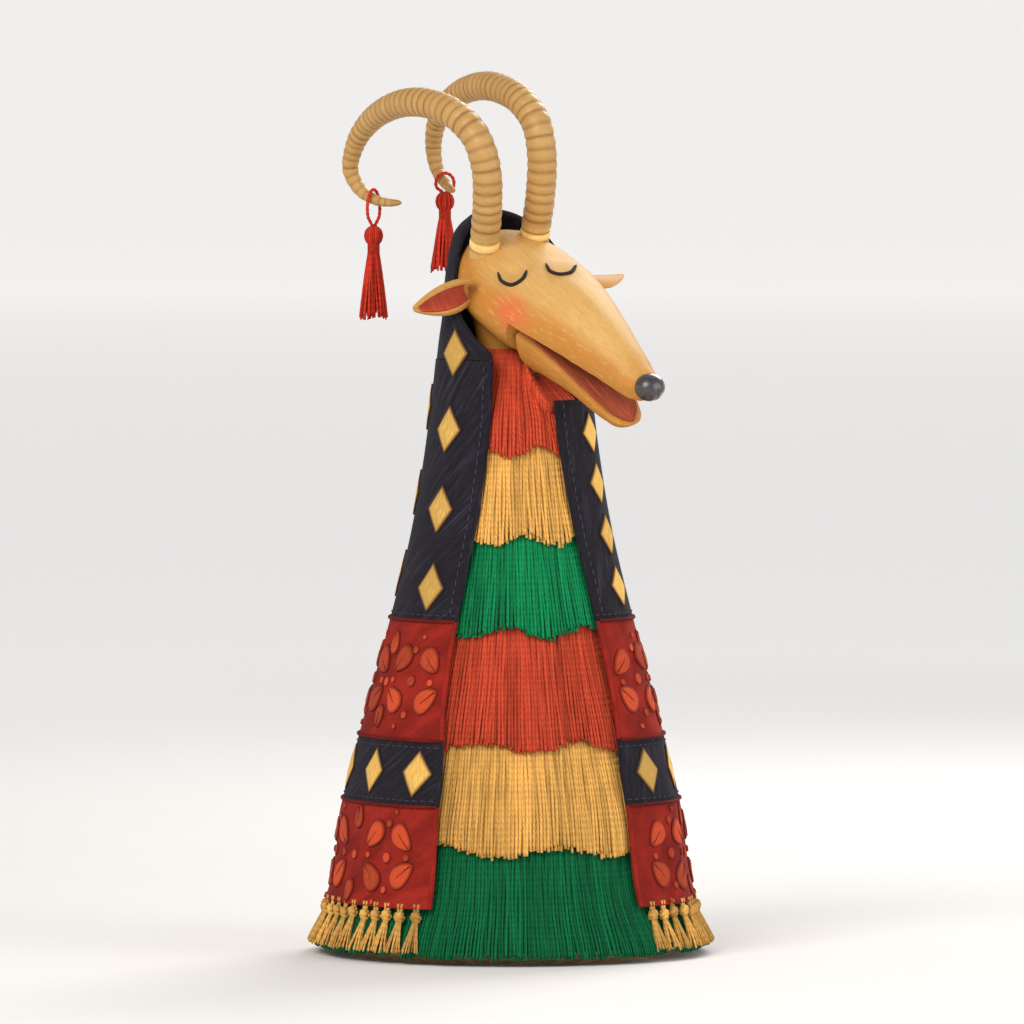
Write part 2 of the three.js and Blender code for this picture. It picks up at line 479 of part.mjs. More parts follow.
// hood: a dome behind the head, cut open ahead of a leaning plane
const HOOD_RINGS = [                // z, centre x, centre y, half x, half y
  [CAPE_SEAMS.top + GAP, 0, 0, capeRadius(CAPE_SEAMS.top), capeRadius(CAPE_SEAMS.top)], [296, 0.8, 0, 36 * CAPE_SCALE, 36.3 * CAPE_SCALE], [308, 1.8, 1, 35.2, 35.5], [320, 2.8, 2.5, 34.8, 34.5],
  [331, 2.6, 5, 32.8, 32], [340, 1, 8, 29, 28], [347, -1, 11, 24, 21.5], [352, -2.5, 13, 17.5, 15],
  [355, -4, 14.5, 10.5, 8.5], [356.4, -4, 15, 4, 3]];
const hoodSolid = (inset) => loft(HOOD_RINGS.map(([z, cx, cy, a, b], k) => Array.from({ length: 36 }, (_, i) => {
  const t = (i / 36) * 2 * Math.PI;
  return [cx + Math.max(1, a - inset) * Math.cos(t), cy + Math.max(1, b - inset) * Math.sin(t),
    k === 0 && inset > 0 ? z - 2 : z - (inset > 0 ? inset * 0.9 * Math.min(1, k / 6) : 0)];
})));
const HOOD_CUT = [[280, 25, 20], [286, 25, 20], [296, 15, 22], [306, 3, 25], [318, -6, 27.5], [330, -9.5, 27.5], [340, -12, 27.5], [349, -15, 27.5], [360, -21, 27.5]];
const cutRings = HOOD_CUT.map(([z, s, deg]) => {
  const n = [Math.sin(rad(deg)), -Math.cos(rad(deg))], w = [n[1], -n[0]];
  const at = (f, side) => [n[0] * f + w[0] * side, n[1] * f + w[1] * side, z];
  return [at(s, 80), at(s, -80), at(s + 120, -80), at(s + 120, 80)];
});
const hoodCutter = loft(cutRings);
const hood = solid(hoodSolid(0)).subtract(solid(hoodSolid(CAPE_CLOTH)))
  .subtract(solid(hoodCutter));
add('hood', hood, COLOUR.navy, 0.95);

// ---------------------------------------------------------------- tassels
for (const [name, side, drop, long] of TASSELS) {
  const curve = hornCurve(side);
  const centre = curve.getPointAt(TASSEL_AT).applyMatrix4(headMatrix);
  const along = curve.getTangentAt(TASSEL_AT).transformDirection(headMatrix);
  const hornR = hornRadius(TASSEL_AT) + 0.4;
  const flatAlong = new THREE.Vector3(along.x, along.y, 0).normalize();
  const across = new THREE.Vector3(-flatAlong.y, flatAlong.x, 0);
  const cord = 0.8, inner = hornR + 0.9, halfH = inner + cord + drop / 2;
  const mid = centre.clone().add(new THREE.Vector3(0, 0, inner - (halfH - cord)));
  const rings = Array.from({ length: 24 }, (_, k) => {
    const a = (k / 24) * 2 * Math.PI;
    const radial = across.clone().multiplyScalar(Math.cos(a)).add(new THREE.Vector3(0, 0, Math.sin(a)));
    const c = mid.clone().addScaledVector(across, (inner + cord) * Math.cos(a)).add(new THREE.Vector3(0, 0, halfH * Math.sin(a)));
    return Array.from({ length: 8 }, (_, i) => {
      const b = (i / 8) * 2 * Math.PI;
      return c.clone().addScaledVector(radial, cord * Math.cos(b)).addScaledVector(flatAlong, cord * Math.sin(b)).toArray();
    });
  });
  const n = 8, faces = [];
  for (let k = 0; k < 24; k++) {
    for (let i = 0; i < n; i++) {
      const a = k * n + i, b = k * n + (i + 1) % n, c = ((k + 1) % 24) * n + i, d = ((k + 1) % 24) * n + (i + 1) % n;
      faces.push([a, b, d], [a, d, c]);
    }
  }
  const loop = solid(outward(meshOf(rings.flat(), faces)));
  const top = mid.z - halfH + 0.4;
  const body = turned([[0, top], [2.2, top], [3.7, top - 1.8], [4.2, top - 4.3], [3.6, top - 7], [2.4, top - 8.8],
    [2.5, top - 11], [3.9, top - 14], [4.8, top - long * 0.51], [5.6, top - long * 0.72], [6.6, top - long + 1], [6.2, top - long], [0, top - long]], 18)
    .translate(mid.x, mid.y, 0);
  add(name, solid(body).add(loop), COLOUR.red, 0.95);
}

// link between the rod and the jaw tail
export default group;
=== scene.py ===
"""Looks of the folk goat figure, built round its packed frame.

A carved head with a hinged jaw and ridged horns, a hooded felt cape with
sewn bands, tiers of yarn fringe, a knotted hem and two tassels.
Sizes in the helpers are millimetres in the frame's own axes: the floor is
z = 0, the post stands at x = y = 0 and the cape opens towards -Y.
"""

import bisect
import math
import random

import bpy
from mathutils import Matrix, Vector, noise


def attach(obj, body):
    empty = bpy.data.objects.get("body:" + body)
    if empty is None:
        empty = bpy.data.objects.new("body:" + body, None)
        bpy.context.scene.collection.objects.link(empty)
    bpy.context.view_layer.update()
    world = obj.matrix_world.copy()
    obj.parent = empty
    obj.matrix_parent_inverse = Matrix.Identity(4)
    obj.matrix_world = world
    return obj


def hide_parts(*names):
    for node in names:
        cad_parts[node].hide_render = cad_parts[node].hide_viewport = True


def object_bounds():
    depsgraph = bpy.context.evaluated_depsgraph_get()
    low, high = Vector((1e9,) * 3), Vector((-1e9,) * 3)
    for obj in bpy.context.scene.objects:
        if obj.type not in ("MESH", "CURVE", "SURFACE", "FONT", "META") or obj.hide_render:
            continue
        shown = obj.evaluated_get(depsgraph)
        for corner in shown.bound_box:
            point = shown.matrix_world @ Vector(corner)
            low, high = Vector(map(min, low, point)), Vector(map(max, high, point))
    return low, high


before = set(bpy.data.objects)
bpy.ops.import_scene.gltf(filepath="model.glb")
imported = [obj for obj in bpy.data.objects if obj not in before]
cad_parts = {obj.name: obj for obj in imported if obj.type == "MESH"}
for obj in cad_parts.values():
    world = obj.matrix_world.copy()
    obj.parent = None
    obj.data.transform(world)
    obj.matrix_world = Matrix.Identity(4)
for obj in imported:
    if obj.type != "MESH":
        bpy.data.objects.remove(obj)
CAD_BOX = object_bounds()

bl_info = {
    "name": "Folk goat figure",
    "version": (1, 0, 0),
    "blender": (4, 5, 0),
    "location": "3D View > Sidebar > Goat",
    "description": "Builds the looks of a folk goat figure round its frame",
    "category": "Add Mesh",
}

MM = 0.001
TAU = 2 * math.pi

# The frame's own sizes, in millimetres and degrees.
CLOTH = 2.2
GAP = 0.3
TIER_CLOTH = 2.0
TIER_LAP = 7
STRANDS_TO = 43.5  # heading at which the front strands of a tier end
LOWEST_YARN = 3.2
TIER_EDGES = (290, 242, 200, 156, 102.5, 53, 3)
SEAM_TOP, SEAM_YOKE, SEAM_LEAF, SEAM_DIAMOND, SEAM_HEM = 285, 161, 105, 74, 26
CAPE_PROFILE = (
    (0, 99), (5, 97.5), (26, 88), (74, 79.5), (105, 72), (161, 57.5),
    (205, 47.5), (248, 40.5), (273, 37.6), (288, 36), (300, 34.5), (330, 31))
OPENING = ((0, 35), (80, 35), (135, 37.5), (170, 36), (220, 29.5), (265, 25), (300, 25))
NECK_RADIUS = 16
HEAD_CENTRE = Vector((5.4, -8.5, 318))
HEAD_YAW, HEAD_PITCH, HEAD_ROLL = 27.5, 26, 12
HEAD_SECTIONS = (  # x, centre z, half width, height above, depth below
    (-36, 0, 9, 8, 8), (-34, 0, 16, 13, 12), (-28, 0, 23, 18, 16), (-18, 0, 28, 20, 18.5),
    (-6, 0, 31, 20.5, 20), (6, 0, 31.5, 20.5, 21), (18, 0, 30.5, 21.5, 21.5),
    (30, 1, 27.5, 21.5, 21), (42, 2, 24, 20.5, 20), (56, 3, 20, 18, 19),
    (70, 3.3, 16.5, 14.7, 18), (84, 3.3, 13, 10.8, 16), (96, 3, 10.5, 7.8, 14),
    (103, 2.7, 8.5, 6, 12), (107, 2.7, 5.5, 3.8, 8))
MOUTH_BACK, MOUTH_HEIGHT, MOUTH_SLOPE = 27, 2.5, 4.2
JAW_PIVOT = Vector((24, 0, -8))
JAW_OPEN = 9
JAW_SECTIONS = (  # x, half width, depth
    (28.4, 24, 26), (38, 21.5, 24), (50, 18.5, 20), (64, 15.5, 16), (78, 12.5, 13.5),
    (88, 10, 11.5), (95, 7.5, 9), (99, 4.5, 5.5))
JAW_TOP = 3.3
JAW_BACK = 28.4
TIP_FROM, TIP_ROUND = 97, 2.3  # where the jaw starts to round off, and over how much
JAW_SLIM = 0.05
LINING = 1.2
NOSE_AT = Vector((108.5, 0, 4.2))
NOSE_RADIUS = 7
HORN_RADIUS = 7.1
HORN_CURVE = (
    (-17.5, 14.5, 7), (-17.5, 14.5, 19.6), (-17.5, 15.2, 42.7), (-20.8, 15.9, 60.8),
    (-29.3, 17.1, 72.3), (-44.3, 18.3, 76.3), (-62.5, 19.5, 73.7), (-82, 20.6, 65.8),
    (-101.5, 21.6, 51.8), (-115, 22.3, 36.5), (-122, 23.1, 22.5), (-122.9, 23.9, 8.3),
    (-116, 22.5, 1.2), (-106.5, 20.7, 0), (-97.6, 17.9, 1.8), (-89.7, 15, 5.2))
TASSEL_AT = 0.925
BALL = 4.4  # radius of the ball at a tassel's head
TASSELS = (("right", -1, 9, 45), ("left", 1, 0.4, 39))  # name, side, slack of the loop, length
LID_RADIUS = 0.95
LIDS = {  # head frame x, y of each closed lid, from its outer end
    "right": ((3.2, -19.6), (10, -21.4), (17.2, -20.2), (18.8, -15.8), (13.4, -10)),
    "left": ((18.8, 14.6), (26.4, 5.8), (26.6, 0.4), (21.6, -2), (13.4, 0.4))}
EAR_LENGTH, EAR_WIDTH = 27, 9.6
EARS = (  # name, root, way it points, way it faces, curl of its two edges in degrees
    ("right", (-4, -31.9, 5.5), (-0.12, -0.97, -0.3), (0.85, -0.1, 0.2), -112, 58),
    ("left", (0, 32.8, -1), (-0.12, 0.97, -0.38), (0.2, 0.3, -0.93), -48, 62))
EASE = 1.04  # share of cloth taken up by the folds of a panel
HOOD_FOOT, HOOD_CROWN = 285.3, 355.7
HOOD_RINGS = (  # z, centre x, centre y, half x, half y
    (285.3, 0, 0, 36.3, 36.3), (296, 0.8, 0, 36, 36.3), (308, 1.8, 1, 35.2, 35.5),
    (320, 2.8, 2.5, 34.8, 34.5), (331, 2.6, 5, 32.8, 32), (340, 1, 8, 29, 28),
    (347, -1, 11, 24, 21.5), (352, -2.5, 13, 17.5, 15), (355, -4, 14.5, 10.5, 8.5),
    (356.4, -4, 15, 4, 3))
HOOD_CUT = (  # z, how far forward the face opening's plane is, its heading
    (280, 25, 20), (286, 25, 20), (296, 15, 22), (306, 3, 25), (318, -6, 27.5),
    (330, -9.5, 27.5), (340, -12, 27.5), (349, -15, 27.5), (360, -21, 27.5))


# ------------------------------------------------------------------ settings
def colour(name, rgb, what):
    """A colour a user may change."""
    return bpy.props.FloatVectorProperty(
        name=name, description=what, default=rgb, size=3, subtype="COLOR", min=0, max=1)


def length(name, metres, what):
    """A size a user may change, in metres."""
    return bpy.props.FloatProperty(
        name=name, description=what, default=metres, min=0, subtype="DISTANCE",
        unit="LENGTH", precision=5)


def amount(name, value, what, low=0.0, high=1.0):
    """A plain number a user may change."""
    return bpy.props.FloatProperty(name=name, description=what, default=value, min=low, max=high)


class GoatCarving(bpy.types.PropertyGroup):
    """The carved head, jaw and horns."""
    wood_light: colour("Light wood", (0.60, 0.355, 0.110), "Wood between the grain lines")
    wood_dark: colour("Dark wood", (0.53, 0.27, 0.062), "Grain lines of the wood")
    # Orange painted shade on the head's flanks, lips, underside and neck and round the horn roots; the same
    # orange towards the nose and over the jaw.
    shade_and_stain: colour("Stain", (0.47, 0.185, 0.024), "Orange stain on the flanks, lips and jaw")
    blush: colour("Blush", (0.64, 0.12, 0.04), "Rubbed colour on the cheeks")
    mouth: colour("Mouth felt", (0.30, 0.062, 0.028), "Felt that lines the mouth")
    nose: colour("Nose", (0.022, 0.018, 0.018), "Painted nose")
    horn_light: colour("Horn ridges", (0.93, 0.64, 0.22), "Crests of the horn's ridges")
    # Painted shade in the grooves between the ridges, and the brown of the tips and of darker ridges.
    horn_groove_shade_and_tips: colour("Horn grooves", (0.27, 0.12, 0.03), "Grooves and tips of the horns")
    ear_pink: colour("Ear felt", (0.42, 0.066, 0.036), "Felt in the ears")
    ridge: length("Ridge height", 0.0007, "How far the horn's ridges stand out")
    ridges: bpy.props.IntProperty(name="Ridges", description="Ridges on each horn", default=44, min=8, max=80)


class GoatGarment(bpy.types.PropertyGroup):
    """The hood, cape and bands."""
    navy: colour("Navy felt", (0.0125, 0.0105, 0.0155), "Felt of the hood and cape")
    navy_light: colour("Navy highlights", (0.058, 0.054, 0.078), "Rubbed fibres of the felt")
    leaf_ground: colour("Leaf band", (0.27, 0.017, 0.010), "Cloth of the leaf bands")
    leaf: colour("Leaves", (0.49, 0.060, 0.019), "Felt leaves and petals")
    leaf_edge: colour("Leaf edge", (0.12, 0.008, 0.006), "Thread round the leaves")
    diamond: colour("Diamonds", (0.71, 0.42, 0.10), "Felt diamonds")
    diamond_edge: colour("Diamond edge", (0.10, 0.045, 0.02), "Thread round the diamonds")
    fold: length("Fold depth", 0.0026, "How far the folds of the cape stand out at the hem")
    leaf_puff: length("Leaf thickness", 0.0011, "How far the leaves stand off the band")


class GoatFringe(bpy.types.PropertyGroup):
    """The fringe tiers, hem and tassels."""
    red: colour("Red yarn", (0.60, 0.070, 0.028), "First tier")
    ochre: colour("Ochre yarn", (0.70, 0.375, 0.090), "Second and fifth tiers and the hem")
    green: colour("Green yarn", (0.003, 0.205, 0.068), "Third tier")
    deep_green: colour("Deep green yarn", (0.002, 0.125, 0.042), "Sixth tier")
    brick: colour("Brick yarn", (0.51, 0.058, 0.024), "Fourth tier")
    tassel: colour("Tassel yarn", (0.56, 0.034, 0.016), "Tassels on the horns")
    strand: length("Strand radius", 0.00085, "Radius of one strand of yarn")
    wave: length("Edge wave", 0.0024, "How far each tier's lower edge rises and falls")


class GoatStage(bpy.types.PropertyGroup):
    """Floor, light and camera."""
    floor: colour("Floor", (0.78, 0.76, 0.73), "Plain pale floor")
    glow: colour("Backdrop glow", (0.42, 0.415, 0.41), "Light of the far floor and its rim")
    key: bpy.props.FloatProperty(
        name="Key light", description="Power of the main soft light", default=26, min=0, unit="POWER")
    azimuth: amount("Azimuth", -9.0, "Camera's heading round the figure, in degrees", -180, 180)
    elevation: amount("Elevation", 2.5, "Camera's height above the horizon, in degrees", -89, 89)
    lens: amount("Lens", 400.0, "Focal length in millimetres", 20, 600)


class GoatFigure(bpy.types.PropertyGroup):
    """Everything a user may change."""
    carving: bpy.props.PointerProperty(type=GoatCarving, name="Carving", description="Head, jaw and horns")
    garment: bpy.props.PointerProperty(type=GoatGarment, name="Garment", description="Hood, cape and bands")
    fringe: bpy.props.PointerProperty(type=GoatFringe, name="Fringe", description="Tiers, hem and tassels")
    stage: bpy.props.PointerProperty(type=GoatStage, name="Stage", description="Floor, light and camera")


# ------------------------------------------------------------------ numbers
def smooth(t):
    """0 to 1 with no corner at either end."""
    t = min(1.0, max(0.0, t))
    return t * t * (3 - 2 * t)


def through(table):
    """A smooth function of a table's first column, giving its other columns."""
    xs = [row[0] for row in table]
    last = len(xs) - 1

    def slope(k, c):
        if k in (0, last):
            a, b = (0, 1) if k == 0 else (last - 1, last)
            return (table[b][c] - table[a][c]) / (xs[b] - xs[a])
        h0, h1 = xs[k] - xs[k - 1], xs[k + 1] - xs[k]
        d0, d1 = (table[k][c] - table[k - 1][c]) / h0, (table[k + 1][c] - table[k][c]) / h1
        return 0.0 if d0 * d1 <= 0 else (d0 * h1 + d1 * h0) / (h0 + h1)

    def at(x):
        x = min(xs[-1], max(xs[0], x))
        k = min(last - 1, bisect.bisect_right(xs, x) - 1)
        h = xs[k + 1] - xs[k]
        t = (x - xs[k]) / h
        found = []
        for c in range(1, len(table[0])):
            p, q = table[k][c], table[k + 1][c]
            m, n = slope(k, c) * h, slope(k + 1, c) * h
            found.append(p + m * t + (3 * (q - p) - 2 * m - n) * t ** 2 + (2 * (p - q) + m + n) * t ** 3)
        return found

    return at


cape_table = through(CAPE_PROFILE)
head_table = through(HEAD_SECTIONS)
jaw_table = through(JAW_SECTIONS)
hood_table = through(HOOD_RINGS)
cut_table = through(HOOD_CUT)
opening_table = through(OPENING)


def cape_radius(z):
    """Outer radius of the bare cape."""
    return cape_table(z)[0]


def polar(radius, heading, z):
    """A point by its heading in degrees from -Y towards +X."""
    a = math.radians(heading)
    return Vector((radius * math.sin(a), -radius * math.cos(a), z))


def open_half(z):
    """Half the angle of the cape's front opening."""
    return opening_table(z)[0]


def neckline(heading):
    """Top of the cape, lower under the jaw on the side the head is turned to."""
    return SEAM_TOP - 19 * (1 - smooth((heading - 58) / 34))


def fold(heading, z, depth):
    """Soft folds that fall from the shoulders and stand only outwards."""
    a = math.radians(heading)
    low = smooth((250 - z) / 230)
    wave = 0.5 + 0.5 * math.sin(7 * a + 0.6 + 0.4 * math.sin(z / 40))
    small = 0.5 + 0.5 * math.sin(17 * a + 2.1 + 0.6 * math.sin(z / 27 + 1.1))
    drift = noise.noise(Vector((3 * math.sin(a), 3 * math.cos(a), z / 60)))
    return depth * low * (0.62 * wave ** 2 + 0.26 * small + 0.24 * max(0.0, drift)) + 0.25 * (1 + drift)


def skin(heading, z, depth):
    """Radius of the cape's outer face with its folds, and of the hood's foot above it."""
    return cape_radius(z) + fold(heading, z, depth) + 0.055 * max(0.0, z - 284)


HEAD = (Matrix.Translation(HEAD_CENTRE)
        @ Matrix.Rotation(math.radians(HEAD_YAW - 90), 4, "Z")
        @ Matrix.Rotation(math.radians(HEAD_PITCH), 4, "Y")
        @ Matrix.Rotation(math.radians(HEAD_ROLL), 4, "X"))
JAW = (HEAD @ Matrix.Translation(JAW_PIVOT)
       @ Matrix.Rotation(math.radians(JAW_OPEN), 4, "Y")
       @ Matrix.Translation(-JAW_PIVOT))


def mouth_z(x):
    """Height of the roof of the mouth in the head's frame."""
    return MOUTH_HEIGHT - (x - MOUTH_BACK) * math.tan(math.radians(MOUTH_SLOPE))


def curve_points(points, steps):
    """Even points along the centripetal curve through some points, and its length."""
    knots = [Vector(p) for p in points]
    knots = [2 * knots[0] - knots[1], *knots, 2 * knots[-1] - knots[-2]]
    fine = []
    for k in range(1, len(knots) - 2):
        p0, p1, p2, p3 = knots[k - 1:k + 3]
        t = [0.0]
        for a, b in ((p0, p1), (p1, p2), (p2, p3)):
            t.append(t[-1] + (b - a).length ** 0.5)
        for i in range(24):
            u = t[1] + (t[2] - t[1]) * i / 24
            a1 = (p0 * (t[1] - u) + p1 * (u - t[0])) / (t[1] - t[0])
            a2 = (p1 * (t[2] - u) + p2 * (u - t[1])) / (t[2] - t[1])
            a3 = (p2 * (t[3] - u) + p3 * (u - t[2])) / (t[3] - t[2])
            b1 = (a1 * (t[2] - u) + a2 * (u - t[0])) / (t[2] - t[0])
            b2 = (a2 * (t[3] - u) + a3 * (u - t[1])) / (t[3] - t[1])
            fine.append((b1 * (t[2] - u) + b2 * (u - t[1])) / (t[2] - t[1]))
    fine.append(knots[-2])
    run = [0.0]
    for a, b in zip(fine, fine[1:]):
        run.append(run[-1] + (b - a).length)
    even, k = [], 0
    for i in range(steps + 1):
        want = run[-1] * i / steps
        while k < len(run) - 2 and run[k + 1] < want:
            k += 1
        f = (want - run[k]) / max(1e-9, run[k + 1] - run[k])
        even.append(fine[k].lerp(fine[k + 1], min(1.0, f)))
    return even, run[-1]


def horn_points(side, steps):
    """Even points along a horn in the head's frame."""
    return curve_points([(x, side * y, z) for x, y, z in HORN_CURVE], steps)


def horn_radius(t):
    """Radius of a horn at a share of its length."""
    return HORN_RADIUS * (1 if t < 0.45 else 1 - 0.8 * ((t - 0.45) / 0.55) ** 1.6)


# ------------------------------------------------------------------ meshes
class Shape:
    """Points and faces in millimetres, with the figures a material reads."""

    def __init__(self):
        self.points, self.faces, self.place, self.tone = [], [], [], []

    def add(self, points, faces, place, tone):
        """Adds a patch: place holds a vector for each point, tone one number for all or each."""
        start = len(self.points)
        self.points.extend(points)
        self.faces.extend([tuple(start + i for i in f) for f in faces])
        self.place.extend(place)
        self.tone.extend(tone if isinstance(tone, list) else [tone] * len(points))

    def rings(self, rings, place, tone=0.5):
        """A tube through rings of equal length, closed by a fan at each end."""
        n, rows = len(rings[0]), len(rings)
        faces = []
        for k in range(rows - 1):
            for i in range(n):
                a, b = k * n + i, k * n + (i + 1) % n
                faces.append((a, b, b + n, a + n))
        points = [p for ring in rings for p in ring]
        for k in (0, rows - 1):
            points.append(sum(rings[k], Vector()) / n)
            at = place[k * n:(k + 1) * n]
            place.append(tuple(sum(p[j] for p in at) / n for j in range(3)))
            if isinstance(tone, list):
                tone.append(tone[k * n])
            for i in range(n):
                a, b = k * n + i, k * n + (i + 1) % n
                faces.append((b, len(points) - 1, a) if k else (a, len(points) - 1, b))
        self.add(points, faces, place, tone)

    def yarn(self, line, outs, radius, sides=6, tone=0.5, plies=0.0, pitch=6.0, thin=1.0):
        """A strand along a line. outs holds a vector that points away from the cloth at each point."""
        rows, place, run = [], [], 0.0
        last = len(line) - 1
        for k, (p, out) in enumerate(zip(line, outs)):
            way = (line[min(k + 1, last)] - line[max(k - 1, 0)]).normalized()
            side = way.cross(out).normalized()
            up = side.cross(way)
            if k:
                run += (p - line[k - 1]).length
            size = radius * (1 - (1 - thin) * (k / last) ** 2)
            ring = []
            for i in range(sides):
                a = TAU * i / sides
                r = size * (1 + plies * math.cos(2 * a - TAU * run / pitch))
                ring.append(p + (side * math.cos(a) + up * math.sin(a)) * r)
                place.append((a, run, k / last))
            rows.append(ring)
        self.rings(rows, place, tone)

    def sheet(self, outer, inner, across, down, place, tone=0.5, joined=False):
        """A closed cloth between two surfaces of (u, v)."""
        cols = across if joined else across + 1
        points, marks, faces = [], [], []
        for layer, f in enumerate((outer, inner)):
            for j in range(down + 1):
                for i in range(cols):
                    points.append(f(i / across, j / down))
                    marks.append(place(i / across, j / down))

        def at(layer, i, j):
            return (layer * (down + 1) + j) * cols + i % cols

        for j in range(down):
            for i in range(across):
                faces.append((at(0, i, j), at(0, i, j + 1), at(0, i + 1, j + 1), at(0, i + 1, j)))
                faces.append((at(1, i, j), at(1, i + 1, j), at(1, i + 1, j + 1), at(1, i, j + 1)))
            if not joined:
                faces.append((at(0, 0, j), at(1, 0, j), at(1, 0, j + 1), at(0, 0, j + 1)))
                faces.append((at(0, across, j), at(0, across, j + 1), at(1, across, j + 1), at(1, across, j)))
        for i in range(across):
            faces.append((at(0, i, 0), at(0, i + 1, 0), at(1, i + 1, 0), at(1, i, 0)))
            faces.append((at(0, i, down), at(1, i, down), at(1, i + 1, down), at(0, i + 1, down)))
        self.add(points, faces, marks, tone)

    def object(self, name, body, material, slot=None, replaces=(), sharp=None):
        """Makes the piece and lets it ride on its body."""
        mesh = bpy.data.meshes.new(name)
        mesh.from_pydata([p * MM for p in self.points], [], self.faces)
        mesh.update()
        for title, kind, values in (
                ("place", "FLOAT_VECTOR", [x for p in self.place for x in p]),
                ("tone", "FLOAT", self.tone)):
            mark = mesh.attributes.new(title, kind, "POINT")
            mark.data.foreach_set("vector" if kind == "FLOAT_VECTOR" else "value", values)
        mesh.shade_smooth()
        if sharp is not None:
            mesh.set_sharp_from_angle(angle=math.radians(sharp))
        made = placed(name, mesh)
        mesh.materials.append(material)
        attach(made, body)
        if replaces:
            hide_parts(*replaces)
        return made


def turned(profile, sides, at=Vector()):
    """Rings of a solid of revolution about z, from (radius, z) rows."""
    return [[Vector((r * math.cos(TAU * i / sides), r * math.sin(TAU * i / sides), z)) + at
             for i in range(sides)] for r, z in profile]


def placed(name, data):
    """A new object in the scene."""
    made = bpy.data.objects.new(name, data)
    bpy.context.scene.collection.objects.link(made)
    return made


def above(z):
    """A step straight up."""
    return Vector((0, 0, z))


def level(angle):
    """A level direction by its angle from +X."""
    return Vector((math.cos(angle), math.sin(angle), 0))


def away(points):
    """Level directions from the post's axis to some points."""
    return [Vector((p.x, p.y, 0)).normalized() for p in points]


def rolled_edge(shape, line, outs, extra):
    """A cloth's rolled edge, marked as felt in millimetres."""
    start = len(shape.place)
    shape.yarn(line, outs, CLOTH / 2 + extra, 10, 0.5)
    shape.place[start:] = [(x * 1.2, y, 0.0) for x, y, _ in shape.place[start:]]


# ------------------------------------------------------------------ materials
class Value:
    """A socket that Python's signs add Math nodes to."""

    def __init__(self, paint, socket):
        self.paint, self.socket = paint, socket

    def _with(self, operation, *inputs, clamp=False):
        return self.paint.add("ShaderNodeMath", {"operation": operation, "use_clamp": clamp},
                              dict(enumerate(inputs)))

    def __add__(self, other): return self._with("ADD", self, other)
    def __radd__(self, other): return self._with("ADD", other, self)
    def __sub__(self, other): return self._with("SUBTRACT", self, other)
    def __rsub__(self, other): return self._with("SUBTRACT", other, self)
    def __mul__(self, other): return self._with("MULTIPLY", self, other)
    def __rmul__(self, other): return self._with("MULTIPLY", other, self)
    def sin(self): return self._with("SINE", self)
    def abs(self): return self._with("ABSOLUTE", self)
    def clamped(self): return self._with("ADD", self, 0.0, clamp=True)


class Paint:
    """A material and the one way its nodes are added."""

    def __init__(self, name, roughness=0.8, **constants):
        self.material = bpy.data.materials.new(name)
        self.material.use_nodes = True
        self.tree = self.material.node_tree
        self.tree.nodes.clear()
        fixed = {socket.replace("_", " "): value for socket, value in constants.items()}
        surface = self.add("ShaderNodeBsdfPrincipled", (), {"Roughness": roughness, **fixed})
        self.shader = surface.socket.node
        self.add("ShaderNodeOutputMaterial", (), {0: surface})

    def add(self, kind, settings=(), inputs=(), out=0):
        """One node: its settings first, then the values or links of its sockets."""
        node = self.tree.nodes.new(kind)
        for key, value in dict(settings).items():
            setattr(node, key, value)
        for key, value in dict(inputs).items():
            if isinstance(value, Value):
                self.tree.links.new(value.socket, node.inputs[key])
            else:
                node.inputs[key].default_value = value
        return Value(self, node.outputs[out]) if node.outputs else None

    def feed(self, socket, value):
        """Links a value to the shader."""
        self.tree.links.new(value.socket, self.shader.inputs[socket])

    def mark(self, name, number=False):
        """A figure stored on the mesh."""
        return self.add("ShaderNodeAttribute", {"attribute_name": name}, out=2 if number else 1)

    def parts(self, vector):
        """The three numbers of a vector."""
        x = self.add("ShaderNodeSeparateXYZ", (), {0: vector})
        return [Value(self, socket) for socket in x.socket.node.outputs]

    def scaled(self, vector, x, y, z):
        """A vector stretched along its axes."""
        return self.add("ShaderNodeVectorMath", {"operation": "MULTIPLY"}, {0: vector, 1: (x, y, z)})

    def joined(self, x, y, z):
        """A vector from three numbers."""
        return self.add("ShaderNodeCombineXYZ", (), {0: x, 1: y, 2: z})

    def noise(self, vector, scale=1.0, detail=3.0, roughness=0.55):
        """Smooth noise from 0 to 1."""
        return self.add("ShaderNodeTexNoise", (), {
            "Vector": vector, "Scale": scale, "Detail": detail, "Roughness": roughness})

    def step(self, value, low, high):
        """0 below low, 1 above high."""
        return self.add("ShaderNodeMapRange", {"interpolation_type": "SMOOTHSTEP"},
                        {0: value, 1: low, 2: high})

    def mix(self, share, a, b):
        """The first colour turning into the second as the share grows."""
        a, b = (x if isinstance(x, Value) else rgba(x) for x in (a, b))
        return self.add("ShaderNodeMix", {"data_type": "RGBA"}, {0: share, 6: a, 7: b}, out=2)

    def bump(self, height, distance, strength=1.0):
        """Small relief, in metres."""
        self.feed("Normal", self.add("ShaderNodeBump", (), {
            "Height": height, "Distance": distance, "Strength": strength}))


def rgba(rgb):
    """A colour with its alpha."""
    return (*tuple(rgb)[:3], 1.0)


def scaled_rgb(rgb, by):
    """A lighter or darker colour."""
    return tuple(min(1.0, c * by) for c in rgb)


